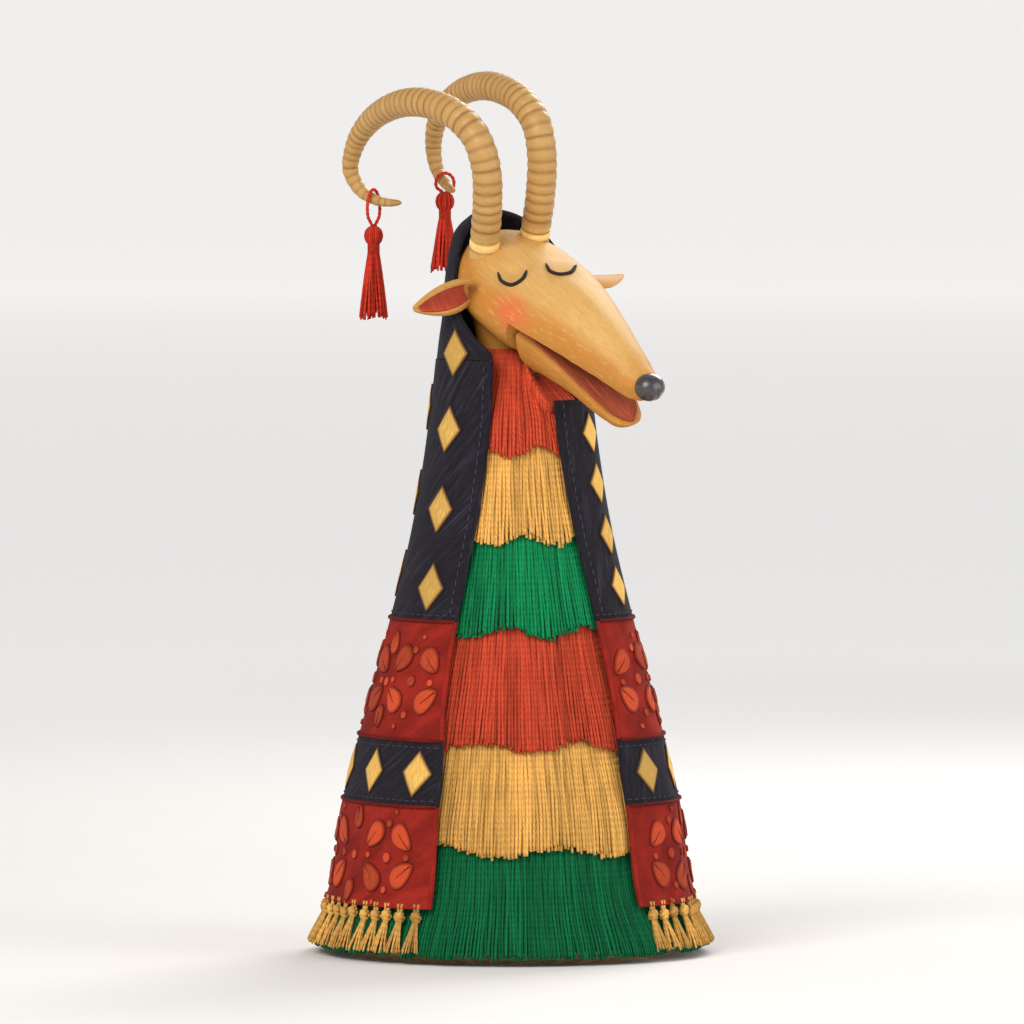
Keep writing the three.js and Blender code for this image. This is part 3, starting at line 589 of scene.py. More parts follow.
def carved_wood(name, light, dark, shade_and_stain, blush):
    """Oiled wood with its grain along x of the marks, its stain by tone, and rubbed cheeks."""
    p = Paint(name, 0.6, Coat_Weight=0.04, Coat_Roughness=0.4, Specular_IOR_Level=0.3)
    place, tone = p.mark("place"), p.mark("tone", True)
    bend = p.noise(p.scaled(place, 0.02, 0.05, 0.05), 1.0, 2.0)
    grain = p.noise(p.scaled(place, 0.05, 0.5, 0.5), 1.0, 5.0, 0.62)
    lines = p.noise(p.scaled(place, 0.06, 1.9, 1.9), 1.0, 3.0, 0.6)
    strokes = p.noise(p.scaled(place, 0.09, 0.75, 0.75), 1.0, 2.0, 0.5)
    tint = p.mix(p.step(grain + (bend - 0.5) * 0.5, 0.36, 0.7) * 0.6, light, dark)
    # Painted shade on the flanks, lips, underside and neck and round the horn roots, and orange colour
    # towards the nose, by tone.
    tint = p.mix((tone * (0.75 + 0.5 * grain)).clamped() * 0.92, tint, shade_and_stain)
    x, y, z = p.parts(place)
    off = p.joined((x - 26) * 0.07, (y.abs() - 25) * 0.1, (z - 7) * 0.1)
    cheek = p.step(p.add("ShaderNodeVectorMath", {"operation": "LENGTH"}, {0: off}, out=1), 1.3, 0.0)
    tint = p.mix((cheek * (0.75 + 0.5 * grain)).clamped() * 0.9, tint, blush)
    tint = p.mix(p.step(lines, 0.54, 0.72) * 0.3, tint, scaled_rgb(shade_and_stain, 0.8))
    tint = p.mix(p.step(strokes, 0.55, 0.72) * 0.34, tint, scaled_rgb(light, 1.12))
    p.feed("Base Color", tint)
    p.feed("Roughness", 0.52 + 0.2 * lines)
    p.bump(0.6 * grain + 0.4 * lines, 0.0005, 0.5)
    return p.material


def ridged_horn(name, light, dark):
    """Horn by marks of (angle, share of length, place in the ridge)."""
    p = Paint(name, 0.6, Coat_Weight=0.06, Coat_Roughness=0.4, Specular_IOR_Level=0.3)
    around, along, ridge = p.parts(p.mark("place"))
    fibres = p.noise(p.joined(around * 3.2, along * 9.0, 0.0), 1.0, 4.0, 0.65)
    patches = p.noise(p.joined(around * 0.8, along * 26.0, 4.0), 1.0, 2.0)
    tone = p.mark("tone", True)
    crest = p.step(ridge, 0.1, 0.9)
    # Painted shade: the grooves between the ridges darken to the dark colour.
    tint = p.mix(crest, dark, light)
    tint = p.mix(p.step(fibres, 0.52, 0.74) * 0.4, tint, scaled_rgb(dark, 1.5))
    tint = p.mix(p.step(patches, 0.5, 0.7) * 0.35, tint, scaled_rgb(light, 1.2))
    tint = p.mix(p.step(along, 0.72, 1.0) * 0.7, tint, scaled_rgb(dark, 1.1))
    tint = p.mix((1 - tone) * 0.22, tint, dark)
    p.feed("Base Color", tint)
    p.feed("Roughness", 0.62 - 0.2 * crest)
    p.bump(fibres, 0.0004, 0.5)
    return p.material


def spun_yarn(name, tint, shade=0.5):
    """Yarn by marks of (angle, millimetres along, share along); tone sets each strand apart."""
    p = Paint(name, 0.88, Specular_IOR_Level=0.12, Sheen_Weight=0.02)
    around, along, share = p.parts(p.mark("place"))
    tone = p.mark("tone", True)
    twist = (around * 2.0 - along * (TAU / 3.0)).sin() * 0.5 + 0.5
    drift = p.noise(p.joined(tone * 37.0, along * 0.09, around * 0.2), 1.0, 3.0)
    fuzz = p.noise(p.joined(around * 2.0, along * 1.6, tone * 11.0), 1.0, 3.0, 0.7)
    value = (tone - 0.5) * 0.9 + (drift - 0.5) * 1.1 + 0.5
    colour_now = p.mix(value.clamped(), scaled_rgb(tint, shade), scaled_rgb(tint, 1.28))
    # Painted shade in the grooves between the plies.
    colour_now = p.mix((1 - twist) * 0.28, colour_now, scaled_rgb(tint, 0.4))
    colour_now = p.mix(p.step(fuzz, 0.6, 0.8) * 0.25, colour_now, scaled_rgb(tint, 1.6))
    # Painted shade over the first fifth of each strand, where fringe hangs from its tape.
    colour_now = p.mix(p.step(1 - share, 0.8, 1.0) * 0.45, colour_now, scaled_rgb(tint, 0.35))
    p.feed("Base Color", colour_now)
    p.feed("Roughness", 0.75 + 0.2 * fuzz)
    p.bump(0.7 * twist + 0.3 * fuzz, 0.0003, 0.6)
    return p.material


def wool_felt(name, tint, light, streaks=0.6):
    """Pressed felt by marks of (millimetres across, millimetres down, 0)."""
    p = Paint(name, 0.92, Specular_IOR_Level=0.12, Sheen_Weight=0.03)
    place = p.mark("place")
    fibres = p.noise(p.scaled(place, 0.9, 0.22, 0.5), 1.0, 5.0, 0.7)
    clouds = p.noise(p.scaled(place, 0.06, 0.03, 0.06), 1.0, 3.0)
    hairs = p.noise(p.scaled(place, 3.2, 1.1, 2.0), 1.0, 4.0, 0.75)
    brushed = p.noise(p.scaled(place, 0.42, 0.035, 0.3), 1.0, 4.0, 0.6)
    tint_now = p.mix(p.step(brushed, 0.5, 0.74) * streaks, tint, light)
    tint_now = p.mix(p.step(brushed, 0.5, 0.3) * 0.5, tint_now, scaled_rgb(tint, 0.45))
    tint_now = p.mix(p.step(fibres, 0.45, 0.75) * streaks * 0.5, tint_now, light)
    tint_now = p.mix(p.step(clouds, 0.4, 0.7) * 0.35, tint_now, scaled_rgb(tint, 0.7))
    tint_now = p.mix(p.step(hairs, 0.62, 0.78) * 0.3, tint_now, scaled_rgb(light, 1.25))
    p.feed("Base Color", tint_now)
    p.feed("Roughness", 0.84 + 0.12 * fibres)
    p.bump(0.5 * fibres + 0.5 * hairs, 0.0005, 0.7)
    return p.material


def woven(name, tint, thread=0.75):
    """Plain weave by marks of (millimetres across, millimetres down, 0)."""
    p = Paint(name, 0.88, Specular_IOR_Level=0.12)
    place = p.mark("place")
    across, down, _ = p.parts(place)
    warp = (across * (math.pi / thread)).sin()
    weft = (down * (math.pi / thread)).sin()
    over = (warp * weft) * 0.5 + 0.5
    slub = p.noise(p.scaled(place, 0.12, 1.4, 1.0), 1.0, 3.0, 0.6)
    clouds = p.noise(p.scaled(place, 0.05, 0.05, 0.05), 1.0, 3.0)
    tint_now = p.mix(p.step(clouds, 0.36, 0.68), scaled_rgb(tint, 0.72), scaled_rgb(tint, 1.3))
    tint_now = p.mix(p.step(slub, 0.55, 0.8) * 0.4, tint_now, scaled_rgb(tint, 1.7))
    tint_now = p.mix(over * 0.3, tint_now, scaled_rgb(tint, 0.45))
    p.feed("Base Color", tint_now)
    p.feed("Roughness", 0.78 + 0.12 * slub)
    p.bump(over * 0.7 + slub * 0.3, 0.00035, 0.7)
    return p.material


def stitched_felt(name, tint, dark):
    """A small felt motif by marks of (millimetres across, along, share to the rim)."""
    p = Paint(name, 0.85, Specular_IOR_Level=0.12, Sheen_Weight=0.02)
    place, tone = p.mark("place"), p.mark("tone", True)
    across, _, rim = p.parts(place)
    brush = p.noise(p.scaled(place, 0.9, 0.22, 0.0), 1.0, 4.0, 0.65)
    satin = (across * 9.0 + p.noise(place, 0.6) * 2.0).sin() * 0.5 + 0.5
    shade = p.step(brush + (tone - 0.5) * 0.5, 0.3, 0.72)
    tint_now = p.mix(shade, scaled_rgb(tint, 0.7), scaled_rgb(tint, 1.25))
    tint_now = p.mix(satin * 0.18, tint_now, scaled_rgb(tint, 0.55))
    tint_now = p.mix(p.step(rim, 0.72, 1.0) * 0.75, tint_now, dark)
    p.feed("Base Color", tint_now)
    p.feed("Roughness", 0.7 + 0.2 * brush)
    p.bump(0.6 * satin + 0.4 * brush, 0.0003, 0.6)
    return p.material


def plain_wood(name, light, dark, scale=1.0):
    """Turned or sawn wood on a frame node, by its own object space."""
    p = Paint(name, 0.55)
    place = p.add("ShaderNodeTexCoord", out=3)
    rings = p.noise(p.scaled(place, 60 * scale, 420 * scale, 60 * scale), 1.0, 4.0, 0.6)
    pores = p.noise(p.scaled(place, 240, 2400, 240), 1.0, 2.0)
    tint = p.mix(p.step(rings, 0.35, 0.68), light, dark)
    tint = p.mix(p.step(pores, 0.62, 0.8) * 0.4, tint, scaled_rgb(dark, 0.6))
    p.feed("Base Color", tint)
    p.feed("Roughness", 0.45 + 0.2 * rings)
    p.bump(rings * 0.5 + pores * 0.5, 0.0003, 0.5)
    return p.material


def grey_card(name, tint):
    """Stiff paper with its fibres."""
    p = Paint(name, 0.9)
    place = p.add("ShaderNodeTexCoord", out=3)
    pulp = p.noise(place, 180.0, 5.0, 0.7)
    specks = p.noise(place, 900.0, 2.0)
    tint_now = p.mix(pulp, scaled_rgb(tint, 0.8), scaled_rgb(tint, 1.15))
    p.feed("Base Color", p.mix(p.step(specks, 0.66, 0.8) * 0.5, tint_now, scaled_rgb(tint, 0.5)))
    p.bump(pulp, 0.0004, 0.5)
    return p.material


def drawn_steel(name, tint):
    """Steel wire with fine lines along it."""
    p = Paint(name, 0.35, Metallic=1.0)
    place = p.add("ShaderNodeTexCoord", out=3)
    lines = p.noise(p.scaled(place, 1200, 60, 1200), 1.0, 3.0)
    p.feed("Base Color", p.mix(lines, scaled_rgb(tint, 0.8), tint))
    p.feed("Roughness", 0.25 + 0.25 * lines)
    return p.material


def gloss_black(name, tint):
    """Painted nose: satin with fine pits."""
    p = Paint(name, 0.25, Coat_Weight=0.5, Coat_Roughness=0.15)
    place = p.mark("place")
    pits = p.noise(place, 1.4, 4.0, 0.6)
    p.feed("Base Color", p.mix(p.step(pits, 0.4, 0.75), tint, scaled_rgb(tint, 3.0)))
    p.feed("Roughness", 0.22 + 0.25 * pits)
    p.bump(pits, 0.0003, 0.5)
    return p.material


# ------------------------------------------------------------------ carving
def shade_and_stain_at(x, y, z):
    """Share of stain: on the flanks and lips, round the horns and towards the nose."""
    centre, half, _, _ = head_table(x)
    flank = smooth((abs(y) / half - 0.6) / 0.36)
    under = smooth((centre - 2 - z) / 6)
    socket = 0.75 * math.exp(-((x + 17.5) / 11) ** 2 - ((abs(y) - 14.5) / 10) ** 2)
    tip = 0.5 * smooth((x - 78) / 28)
    return min(1.0, max(flank, under) + socket + tip)


def head_point(x, t):
    """A point of the carved head in its own frame, by its place along and round it."""
    zc, a, up, down = head_table(x)
    c, s = math.cos(t), math.sin(t)
    y, z = a * c, zc + (up if s > 0 else down) * s
    if s > 0:
        brow = math.exp(-((x - 21) / 7) ** 2 - ((abs(y) - 13.5) / 7) ** 2)
        hollow = math.exp(-((x - 9) / 6) ** 2 - ((abs(y) - 13.5) / 7.5) ** 2)
        ridge = math.exp(-((y / 5) ** 2)) * smooth((x - 25) / 20) * smooth((100 - x) / 20)
        z += 1.1 * brow - 1.0 * hollow + 0.7 * ridge
        nostril = math.exp(-((x - 98) / 4) ** 2 - ((abs(y) - 7.5) / 2.5) ** 2)
        z -= 0.9 * nostril
    cut = noise.noise(Vector((x / 9, y / 6, z / 6)))
    grow = 1 + 0.006 * cut
    return Vector((x, y * grow, zc + (z - zc) * grow))


def build_head(s):
    """Carved head and neck in one piece."""
    wood = carved_wood("oiled_head_wood", s.wood_light, s.wood_dark, s.shade_and_stain, s.blush)
    shape = Shape()
    sides = 96
    stations = [-36 + 1.2 * k for k in range(8)] + [-26 + 2.2 * k for k in range(24)]
    stations = [x for x in stations if x < MOUTH_BACK - 0.6]
    back = len(stations)
    stations += [MOUTH_BACK - 0.4, MOUTH_BACK + 0.4]
    stations += [MOUTH_BACK + 1.6 + 1.55 * k for k in range(47)] + [101.5, 103, 104.3, 105.4, 106.3, 107]
    rings, place, tone = [], [], []
    for k, x in enumerate(stations):
        ring = []
        for i in range(sides):
            p = head_point(x, TAU * i / sides)
            if k > back:
                floor = mouth_z(x) + 0.35 * (abs(p.y) / max(2, head_table(x)[1])) ** 4
                p.z = max(p.z, floor)
            ring.append(HEAD @ p)
            place.append(tuple(p))
            tone.append(shade_and_stain_at(*p))
        rings.append(ring)
    shape.rings(rings, place, tone)
    neck = turned([(15.6, 262), (16, 268), (16, 280), (16.6, 292), (18, 300), (20, 306)], 48)
    inverse = HEAD.inverted()
    # The neck takes the full orange painted shade.
    shape.rings(neck, [tuple(inverse @ p) for r in neck for p in r], 1.0)
    return shape.object("head", "figure", wood, "carved_wood", ["head_block"], 40)


def lining(matrix, base, inset, low, high, widths, slim=0.0):
    """A felt plate in the mouth."""
    shape = Shape()
    rows, cols = 40, 14

    def at(height, bulge):
        def f(u, v):
            x = 29.5 + 68.5 * v
            half = max(1.2, widths(x) - inset) * math.sqrt(max(0.02, 1 - max(0.0, (v - 0.86) / 0.15) ** 2))
            y = half * (2 * u - 1)
            z = mouth_z(x) - slim * (x - JAW_BACK) + base + height + bulge * (1 - (2 * u - 1) ** 2)
            return matrix @ Vector((x, y, z))
        return f

    shape.sheet(at(high, 0.35), at(low, 0.0), cols, rows,
                lambda u, v: (30 * u, 68 * v, 0.0))
    return shape


def build_jaw(s):
    """Lower jaw and both linings of the mouth."""
    wood = bpy.data.materials["oiled_head_wood"]
    felt = wool_felt("mouth_felt", s.mouth, scaled_rgb(s.mouth, 2.4), 0.7)
    shape = Shape()
    rings, place, tone = [], [], []
    stations = [JAW_BACK + 1.45 * k for k in range(46)] + [94.6, 96, 97.2, 98.2, 98.9, 99.2]
    for k, x in enumerate(stations):
        a, depth = jaw_table(min(99, x))
        if x > TIP_FROM:
            past = (x - TIP_FROM) / TIP_ROUND
            a, depth = a * math.sqrt(max(0.06, 1 - past ** 2)), depth * (1 - 0.4 * past)
        sunk = JAW_SLIM * (x - JAW_BACK)
        top, depth = mouth_z(x) - JAW_TOP - sunk, depth - sunk
        lean = 0.21 * smooth((40 - x) / 11.6)
        ring = []
        for i in range(24):
            y = a * (1 - 2 * i / 24)
            lip = 0.5 * (abs(y) / a) ** 6
            ring.append(Vector((x, y, top - lip)))
        for i in range(48):
            t = math.pi * (i + 0.5) / 48
            y, z = -a * math.cos(t), top - 0.5 - (depth - 0.5) * math.sin(t) ** 0.9
            ring.append(Vector((x + lean * (top - z), y, z)))
        for p in ring:
            cut = noise.noise(p / 7)
            p.y *= 1 + 0.008 * cut
            place.append(tuple(p))
            # The whole jaw takes the head's orange at nearly full share.
            tone.append(0.95 + 0.3 * noise.noise(p / 12))
        rings.append([JAW @ p for p in ring])
    shape.rings(rings, place, tone)
    shape.object("jaw", "jaw", wood, "carved_wood", ["lower_jaw"], 40)
    lining(JAW, -JAW_TOP + GAP, 2.0, 0.0, LINING, lambda x: jaw_table(x)[0], JAW_SLIM).object(
        "jaw_felt", "jaw", felt, "mouth_felt", ["jaw_lining"], 50)
    lining(HEAD, -GAP, 3.2, -LINING, 0.0, lambda x: min(jaw_table(min(99, x))[0], head_table(x)[1])).object(
        "palate_felt", "figure", felt, "mouth_felt", ["palate_lining"], 50)


def build_face(s):
    """Nose and closed lids."""
    black = gloss_black("nose_paint", s.nose)
    thread = spun_yarn("lid_thread", scaled_rgb(s.nose, 1.6))
    shape = Shape()
    rings, place = [], []
    rows, cols = 28, 40
    for k in range(rows):
        v = math.pi * (k + 0.5) / rows
        ring = []
        for i in range(cols):
            a = TAU * i / cols
            d = Vector((-math.cos(v), math.sin(v) * math.cos(a), math.sin(v) * math.sin(a)))
            r = NOSE_RADIUS * (1 - 0.05 * math.exp(-((d.y / 0.12) ** 2)) * max(0, d.x))
            nostril = math.exp(-((abs(d.y) - 0.5) / 0.16) ** 2 - ((d.z + 0.32) / 0.2) ** 2)
            r -= 0.8 * nostril * max(0.0, d.x)
            p = Vector((d.x * r, d.y * r * 1.05, d.z * r * 0.94))
            ring.append(HEAD @ (NOSE_AT + p))
            place.append(tuple(p))
        rings.append(ring)
    shape.rings(rings, place)
    shape.object("nose_ball", "figure", black, "black_nose", ["nose"])
    for name, points in LIDS.items():
        lid = Shape()
        line, outs = [], []
        for x, y, _ in curve_points([(x, y, 0) for x, y in points], 32)[0]:
            zc, a, up, _ = head_table(x)
            p = head_point(x, math.acos(max(-1, min(1, y / a))))
            d = 0.5
            ahead, behind = (head_point(x + k, math.acos(max(-1, min(1, y / a)))).z for k in (d, -d))
            out = Vector(((behind - ahead) / (2 * d), p.y / a ** 2 * up, (p.z - zc) / up)).normalized()
            line.append(HEAD @ (p + out * 0.55))
            outs.append(HEAD.to_3x3() @ out)
        start = len(lid.points)
        lid.yarn(line, outs, LID_RADIUS * 0.97, 10, 0.5, 0.05, 2.4)
        for k in range(33):  # both ends taper
            size = math.sqrt(max(0.12, 1 - (2 * k / 32 - 1) ** 4))
            for i in range(10):
                j = start + 10 * k + i
                lid.points[j] = line[k] + (lid.points[j] - line[k]) * size
        lid.object("lid_" + name, "figure", thread, "eye_thread", ["eye_" + name])


def build_ears(s):
    """Cupped ears with a felt lining."""
    wood = bpy.data.materials["oiled_head_wood"]
    pink = wool_felt("ear_felt", s.ear_pink, scaled_rgb(s.ear_pink, 1.6), 0.6)
    for name, root, way, facing, low, high in EARS:
        root, way, facing = Vector(root), Vector(way).normalized(), Vector(facing).normalized()
        wide = facing.cross(way).normalized()
        thick = way.cross(wide).normalized()
        thick = thick if thick.dot(facing) > 0 else -thick

        def blade(lift, share, start, stop):
            def f(u, v):
                t = start + (stop - start) * v
                size = EAR_WIDTH * math.sin(math.pi * (0.2 + 0.775 * t)) ** 0.75
                middle = (low + high) / 2 * (1 - share)
                curl = math.radians(middle + share * (low + (high - low) * u)) * (1 - 0.25 * t)
                r = size - lift
                local = (root + way * (EAR_LENGTH * t - 1.4 * (1 - math.cos(curl)))
                         + wide * (r * math.sin(curl)) + thick * (size - 1.2 - r * math.cos(curl)))
                return HEAD @ (local - thick * (2.4 * t * t))
            return f

        def marks(u, v):
            return (EAR_LENGTH * v, 16 * u, 0.0)

        ear = Shape()
        ear.sheet(blade(-0.9, 1.0, -0.04, 1.0), blade(0.9, 0.97, -0.04, 0.985), 32, 40, marks, 0.6)
        ear.object("ear_blade_" + name, "figure", wood, "ear_leather", ["ear_" + name], 60)
        felt = Shape()
        felt.sheet(blade(1.0, 0.84, 0.04, 0.9), blade(1.9, 0.8, 0.05, 0.89), 24, 30, marks)
        felt.object("ear_felt_" + name, "figure", pink, "pink_felt", ["ear_lining_" + name], 60)


def build_horns(s):
    """Ridged horns."""
    horn = ridged_horn("ridged_horn_coat", s.horn_light, s.horn_groove_shade_and_tips)
    height = s.ridge / MM
    for name, side in (("right", -1), ("left", 1)):
        rng = random.Random(7 + side)
        steps = s.ridges * 6
        line, _ = horn_points(side, steps)
        start = 0.045
        marks = [start]
        while marks[-1] < 0.97:
            even = (0.97 - start) / s.ridges
            marks.append(marks[-1] + even * rng.uniform(0.82, 1.18) * (1.08 - 0.25 * marks[-1]))
        tones = [rng.random() for _ in marks]
        rings, place, tone = [], [], []
        for k, p in enumerate(line):
            t = k / steps
            way = (line[min(k + 1, steps)] - line[max(k - 1, 0)]).normalized()
            b = (Vector((0, 1, 0)) - way * way.y).normalized()
            n = b.cross(way).normalized()
            j = bisect.bisect_right(marks, t) - 1
            if 0 <= j < len(marks) - 1:
                f = (t - marks[j]) / (marks[j + 1] - marks[j])
                crest = math.sin(math.pi * f ** 0.75) ** 0.7
                shade = tones[j]
            else:
                crest, shade = 0.5, 0.5
            fade = 1 - 0.65 * smooth((t - 0.75) / 0.25)
            ring = []
            for i in range(28):
                a = TAU * i / 28
                uneven = 1 + 0.02 * noise.noise(Vector((math.cos(a) * 2, math.sin(a) * 2, t * 30 + side)))
                r = (horn_radius(t) - 0.3 * fade) * uneven + height * fade * (crest - 0.35)
                if t > 0.985:
                    r *= math.sqrt(max(0.05, 1 - ((t - 0.985) / 0.015) ** 2))
                ring.append(HEAD @ (p + n * (math.cos(a) * r) + b * (math.sin(a) * r)))
                place.append((a, t * 12, crest))
                tone.append(shade)
            rings.append(ring)
        shape = Shape()
        shape.rings(rings, place, tone)
        shape.object("horn_ridged_" + name, "figure", horn, "horn", ["horn_" + name])


# ------------------------------------------------------------------ garment
def arc_length(z, span):
    """Millimetres along the cape for a span of degrees."""
    return math.radians(span) * cape_radius(z)


def panel(top, bottom, across, down, depth, name, material, slot, node):
    """A curved panel of the cape, with rolled front edges."""
    head = top if callable(top) else (lambda heading: top)
    shape = Shape()

    def where(u, v):
        rough = 25 + 310 * u
        z = head(rough) + (bottom - head(rough)) * v
        h = open_half(z)
        return h + (360 - 2 * h) * u, z

    def face(inset):
        def f(u, v):
            heading, z = where(u, v)
            return polar(skin(heading, z, depth) - inset, heading, z)
        return f

    def marks(u, v):
        heading, z = where(u, v)
        return (math.radians(heading) * cape_radius(z), z, 0.0)

    shape.sheet(face(0.0), face(CLOTH), across, down, marks)
    for u in (0.0, 1.0):
        line, outs = [], []
        for k in range(down * 2 + 1):
            heading, z = where(u, k / (down * 2))
            heading += 0.6 if u == 0 else -0.6
            line.append(polar(skin(heading, z, depth) - CLOTH / 2, heading, z))
            outs.append(polar(1, heading, 0))
        rolled_edge(shape, line, outs, 0.25)
    made = shape.object(name, "figure", material, slot, [node], 45)
    crest = head(180)
    wide = sum(arc_length(z, 360 - 2 * open_half(z)) for z in (crest, bottom)) / 2
    tall = math.hypot(crest - bottom, cape_radius(bottom) - cape_radius(crest))
    wide * MM * EASE


def hood_kept(z):
    """Centre, half sizes and the kept run of angles of the hood at a height."""
    cx, cy, a, b = hood_table(z)
    ahead, heading = cut_table(z)
    n = Vector((math.sin(math.radians(heading)), -math.cos(math.radians(heading))))
    ca, cb = n.x * a, n.y * b
    k = (ahead - n.x * cx - n.y * cy) / math.hypot(ca, cb)
    k = min(1.0, max(-1.0, k))
    phase = math.atan2(cb, ca)
    return cx, cy, a, b, phase + math.acos(k), phase + TAU - math.acos(k)


def hood_point(u, v, inset=0.0):
    """A point of the hood: u along the kept arc from the figure's right, v from its foot to its crown."""
    z = HOOD_FOOT + (HOOD_CROWN - HOOD_FOOT) * (1 - (1 - v) ** 1.7)
    cx, cy, a, b, t0, t1 = hood_kept(z)
    t = t0 + (t1 - t0) * u
    ripple = 0.35 * math.sin(9 * t + 2) * smooth((320 - z) / 30) + 0.3 * math.sin(5 * t + z / 14)
    low = inset * 0.9 * smooth((z - 325) / 25)
    return Vector((cx + (a - inset + ripple) * math.cos(t), cy + (b - inset + ripple) * math.sin(t), z - low))


def hood_cut():
    """The hood laid flat strip by strip: its widest arc, its length from foot to crown, and its area."""
    across, down = 48, 24
    rows = [[hood_point(j / across, k / down, CLOTH / 2) for j in range(across + 1)] for k in range(down + 1)]
    arcs = [sum((q - p).length for p, q in zip(row, row[1:])) for row in rows]
    drops = [sum((q - p).length for p, q in zip(low, high)) / (across + 1)
             for low, high in zip(rows, rows[1:])]
    area = sum((a + b) / 2 * drop for a, b, drop in zip(arcs, arcs[1:], drops))
    return max(arcs) * MM, sum(drops) * MM, area * MM * MM


def build_hood(g):
    """Hood with a rolled edge round the face."""
    felt = wool_felt("brushed_navy_felt", g.navy, g.navy_light, 0.55)
    shape = Shape()

    def marks(u, v):
        return (190 * u, 80 * v, 0.0)

    shape.sheet(hood_point, lambda u, v: hood_point(u, v, CLOTH), 110, 46, marks)
    edge = [hood_point(0, k / 60, CLOTH / 2) for k in range(61)]
    edge += [hood_point(1, 1 - k / 60, CLOTH / 2) for k in range(1, 61)]
    centre = Vector((0, 6, 320))
    outs = [(p - centre).normalized() for p in edge]
    rolled_edge(shape, edge, outs, 0.35)
    made = shape.object("hood_felt", "figure", felt, "navy_felt", ["hood"], 50)
    wide, tall, area = hood_cut()


def build_cape(g):
    """Upper cape and the diamond band, both navy felt."""
    felt = bpy.data.materials["brushed_navy_felt"]
    depth = g.fold / MM
    panel(neckline, SEAM_YOKE + GAP, 150, 70, depth, "cape_felt", felt, "navy_felt", "cape_upper")
    panel(SEAM_LEAF, SEAM_DIAMOND + GAP, 170, 18, depth, "diamond_band", felt, "navy_felt", "band_diamond")


def patch(shape, outline, heading, z, depth, height, tone, turn=0.0):
    """A puffed felt motif on the cape. The outline is (across, up) in millimetres."""
    radius = skin(heading, z, depth)
    rows = ((1.0, -0.25), (1.02, 0.45), (0.93, 0.85), (0.7, 1.0), (0.36, 1.06))
    c, s = math.cos(turn), math.sin(turn)

    def on_cape(x, y, off):
        up = z + y * c + x * s
        side = x * c - y * s
        at = heading + math.degrees(side / radius)
        return polar(skin(at, up, depth) + off, at, up)

    rings, place = [], []
    for scale, off in rows:
        rings.append([on_cape(x * scale, y * scale, off * height) for x, y in outline])
        place += [(x * scale, y * scale, scale) for x, y in outline]
    n = len(outline)
    points = [p for ring in rings for p in ring] + [on_cape(0, 0, 1.08 * height)]
    place.append((0.0, 0.0, 0.0))
    faces = []
    for k in range(len(rows) - 1):
        for i in range(n):
            a, b = k * n + i, k * n + (i + 1) % n
            faces.append((a, b, b + n, a + n))
    base = (len(rows) - 1) * n
    faces += [(base + i, base + (i + 1) % n, len(points) - 1) for i in range(n)]
    shape.add(points, faces, place, tone)
    return on_cape


def thread_round(shape, outline, on_cape, off, radius, tone):
    """A couched thread along a closed outline."""
    line = [on_cape(x, y, off) for x, y in (*outline, *outline[:2])]
    shape.yarn(line, away(line), radius, 6, tone, 0.1, 1.6)


def rounded_diamond(wide, tall, wobble, rng):
    """Outline of a hand-cut diamond."""
    corners = [Vector((wide / 2, 0)), Vector((0, tall / 2)), Vector((-wide / 2, 0)), Vector((0, -tall / 2))]
    corners = [c + Vector((rng.uniform(-wobble, wobble), rng.uniform(-wobble, wobble))) for c in corners]
    out = []
    for k in range(4):
        a, b, c = corners[k - 1], corners[k], corners[(k + 1) % 4]
        for t in (0.09, 0.05, 0.02):
            out.append(tuple(b.lerp(a, t)))
        for t in (0.02, 0.05, 0.09):
            out.append(tuple(b.lerp(c, t)))
        for t in (0.3, 0.5, 0.7):
            out.append(tuple(b.lerp(c, t)))
    return out


def build_diamonds(g):
    """Felt diamonds down the front edges, over the back and round the diamond band."""
    felt = stitched_felt("diamond_felt", g.diamond, g.diamond_edge)
    edge = spun_yarn("diamond_thread", g.diamond_edge)
    depth = g.fold / MM
    places = [(h, z, 17.5, 23) for h, z in ((-57, 288.5), (-58, 252), (-57, 214), (-55, 177))]
    places += [(h, z, 16.5, 20) for h, z in ((58, 250), (59, 226), (60, 201.5), (60, 177))]
    for z in (262, 221, 182):
        places += [(h, z, 17, 22) for h in (102, 141, 180, 219, 258)]
    places += [(h, 89.8, 17.5, 21.5) for h in (
        -168.5, -143.5, -118.5, -93.5, -68.5, -44.5, 48, 71, 95, 119, 143, 167)]
    rng = random.Random(31)
    motifs, threads = Shape(), Shape()
    for heading, z, wide, tall in places:
        outline = rounded_diamond(wide, tall, 0.35, rng)
        on_cape = patch(motifs, outline, heading, z, depth, 1.0, rng.random(), rng.uniform(-0.05, 0.05))
        thread_round(threads, outline, on_cape, 0.45, 0.42, rng.uniform(0.3, 0.6))
    motifs.object("diamonds", "figure", felt, "ochre_yarn")
    threads.object("diamond_threads", "figure", edge, "eye_thread")


def leaf_outline(long, wide, bend=0.0):
    """Outline of a pointed leaf that stands on its stalk at the origin's side."""
    out = []
    for k in range(22):
        t = k / 22
        a = TAU * t
        y = 0.5 * long * math.cos(a)
        x = 0.5 * wide * math.sin(a) * (1 + 0.34 * math.cos(a))
        out.append((-x + bend * (1 - (2 * y / long) ** 2), y))
    return out


def round_outline(radius):
    """Outline of a dot."""
    n = 14
    return [(-radius * math.sin(TAU * k / n), radius * math.cos(TAU * k / n)) for k in range(n)]


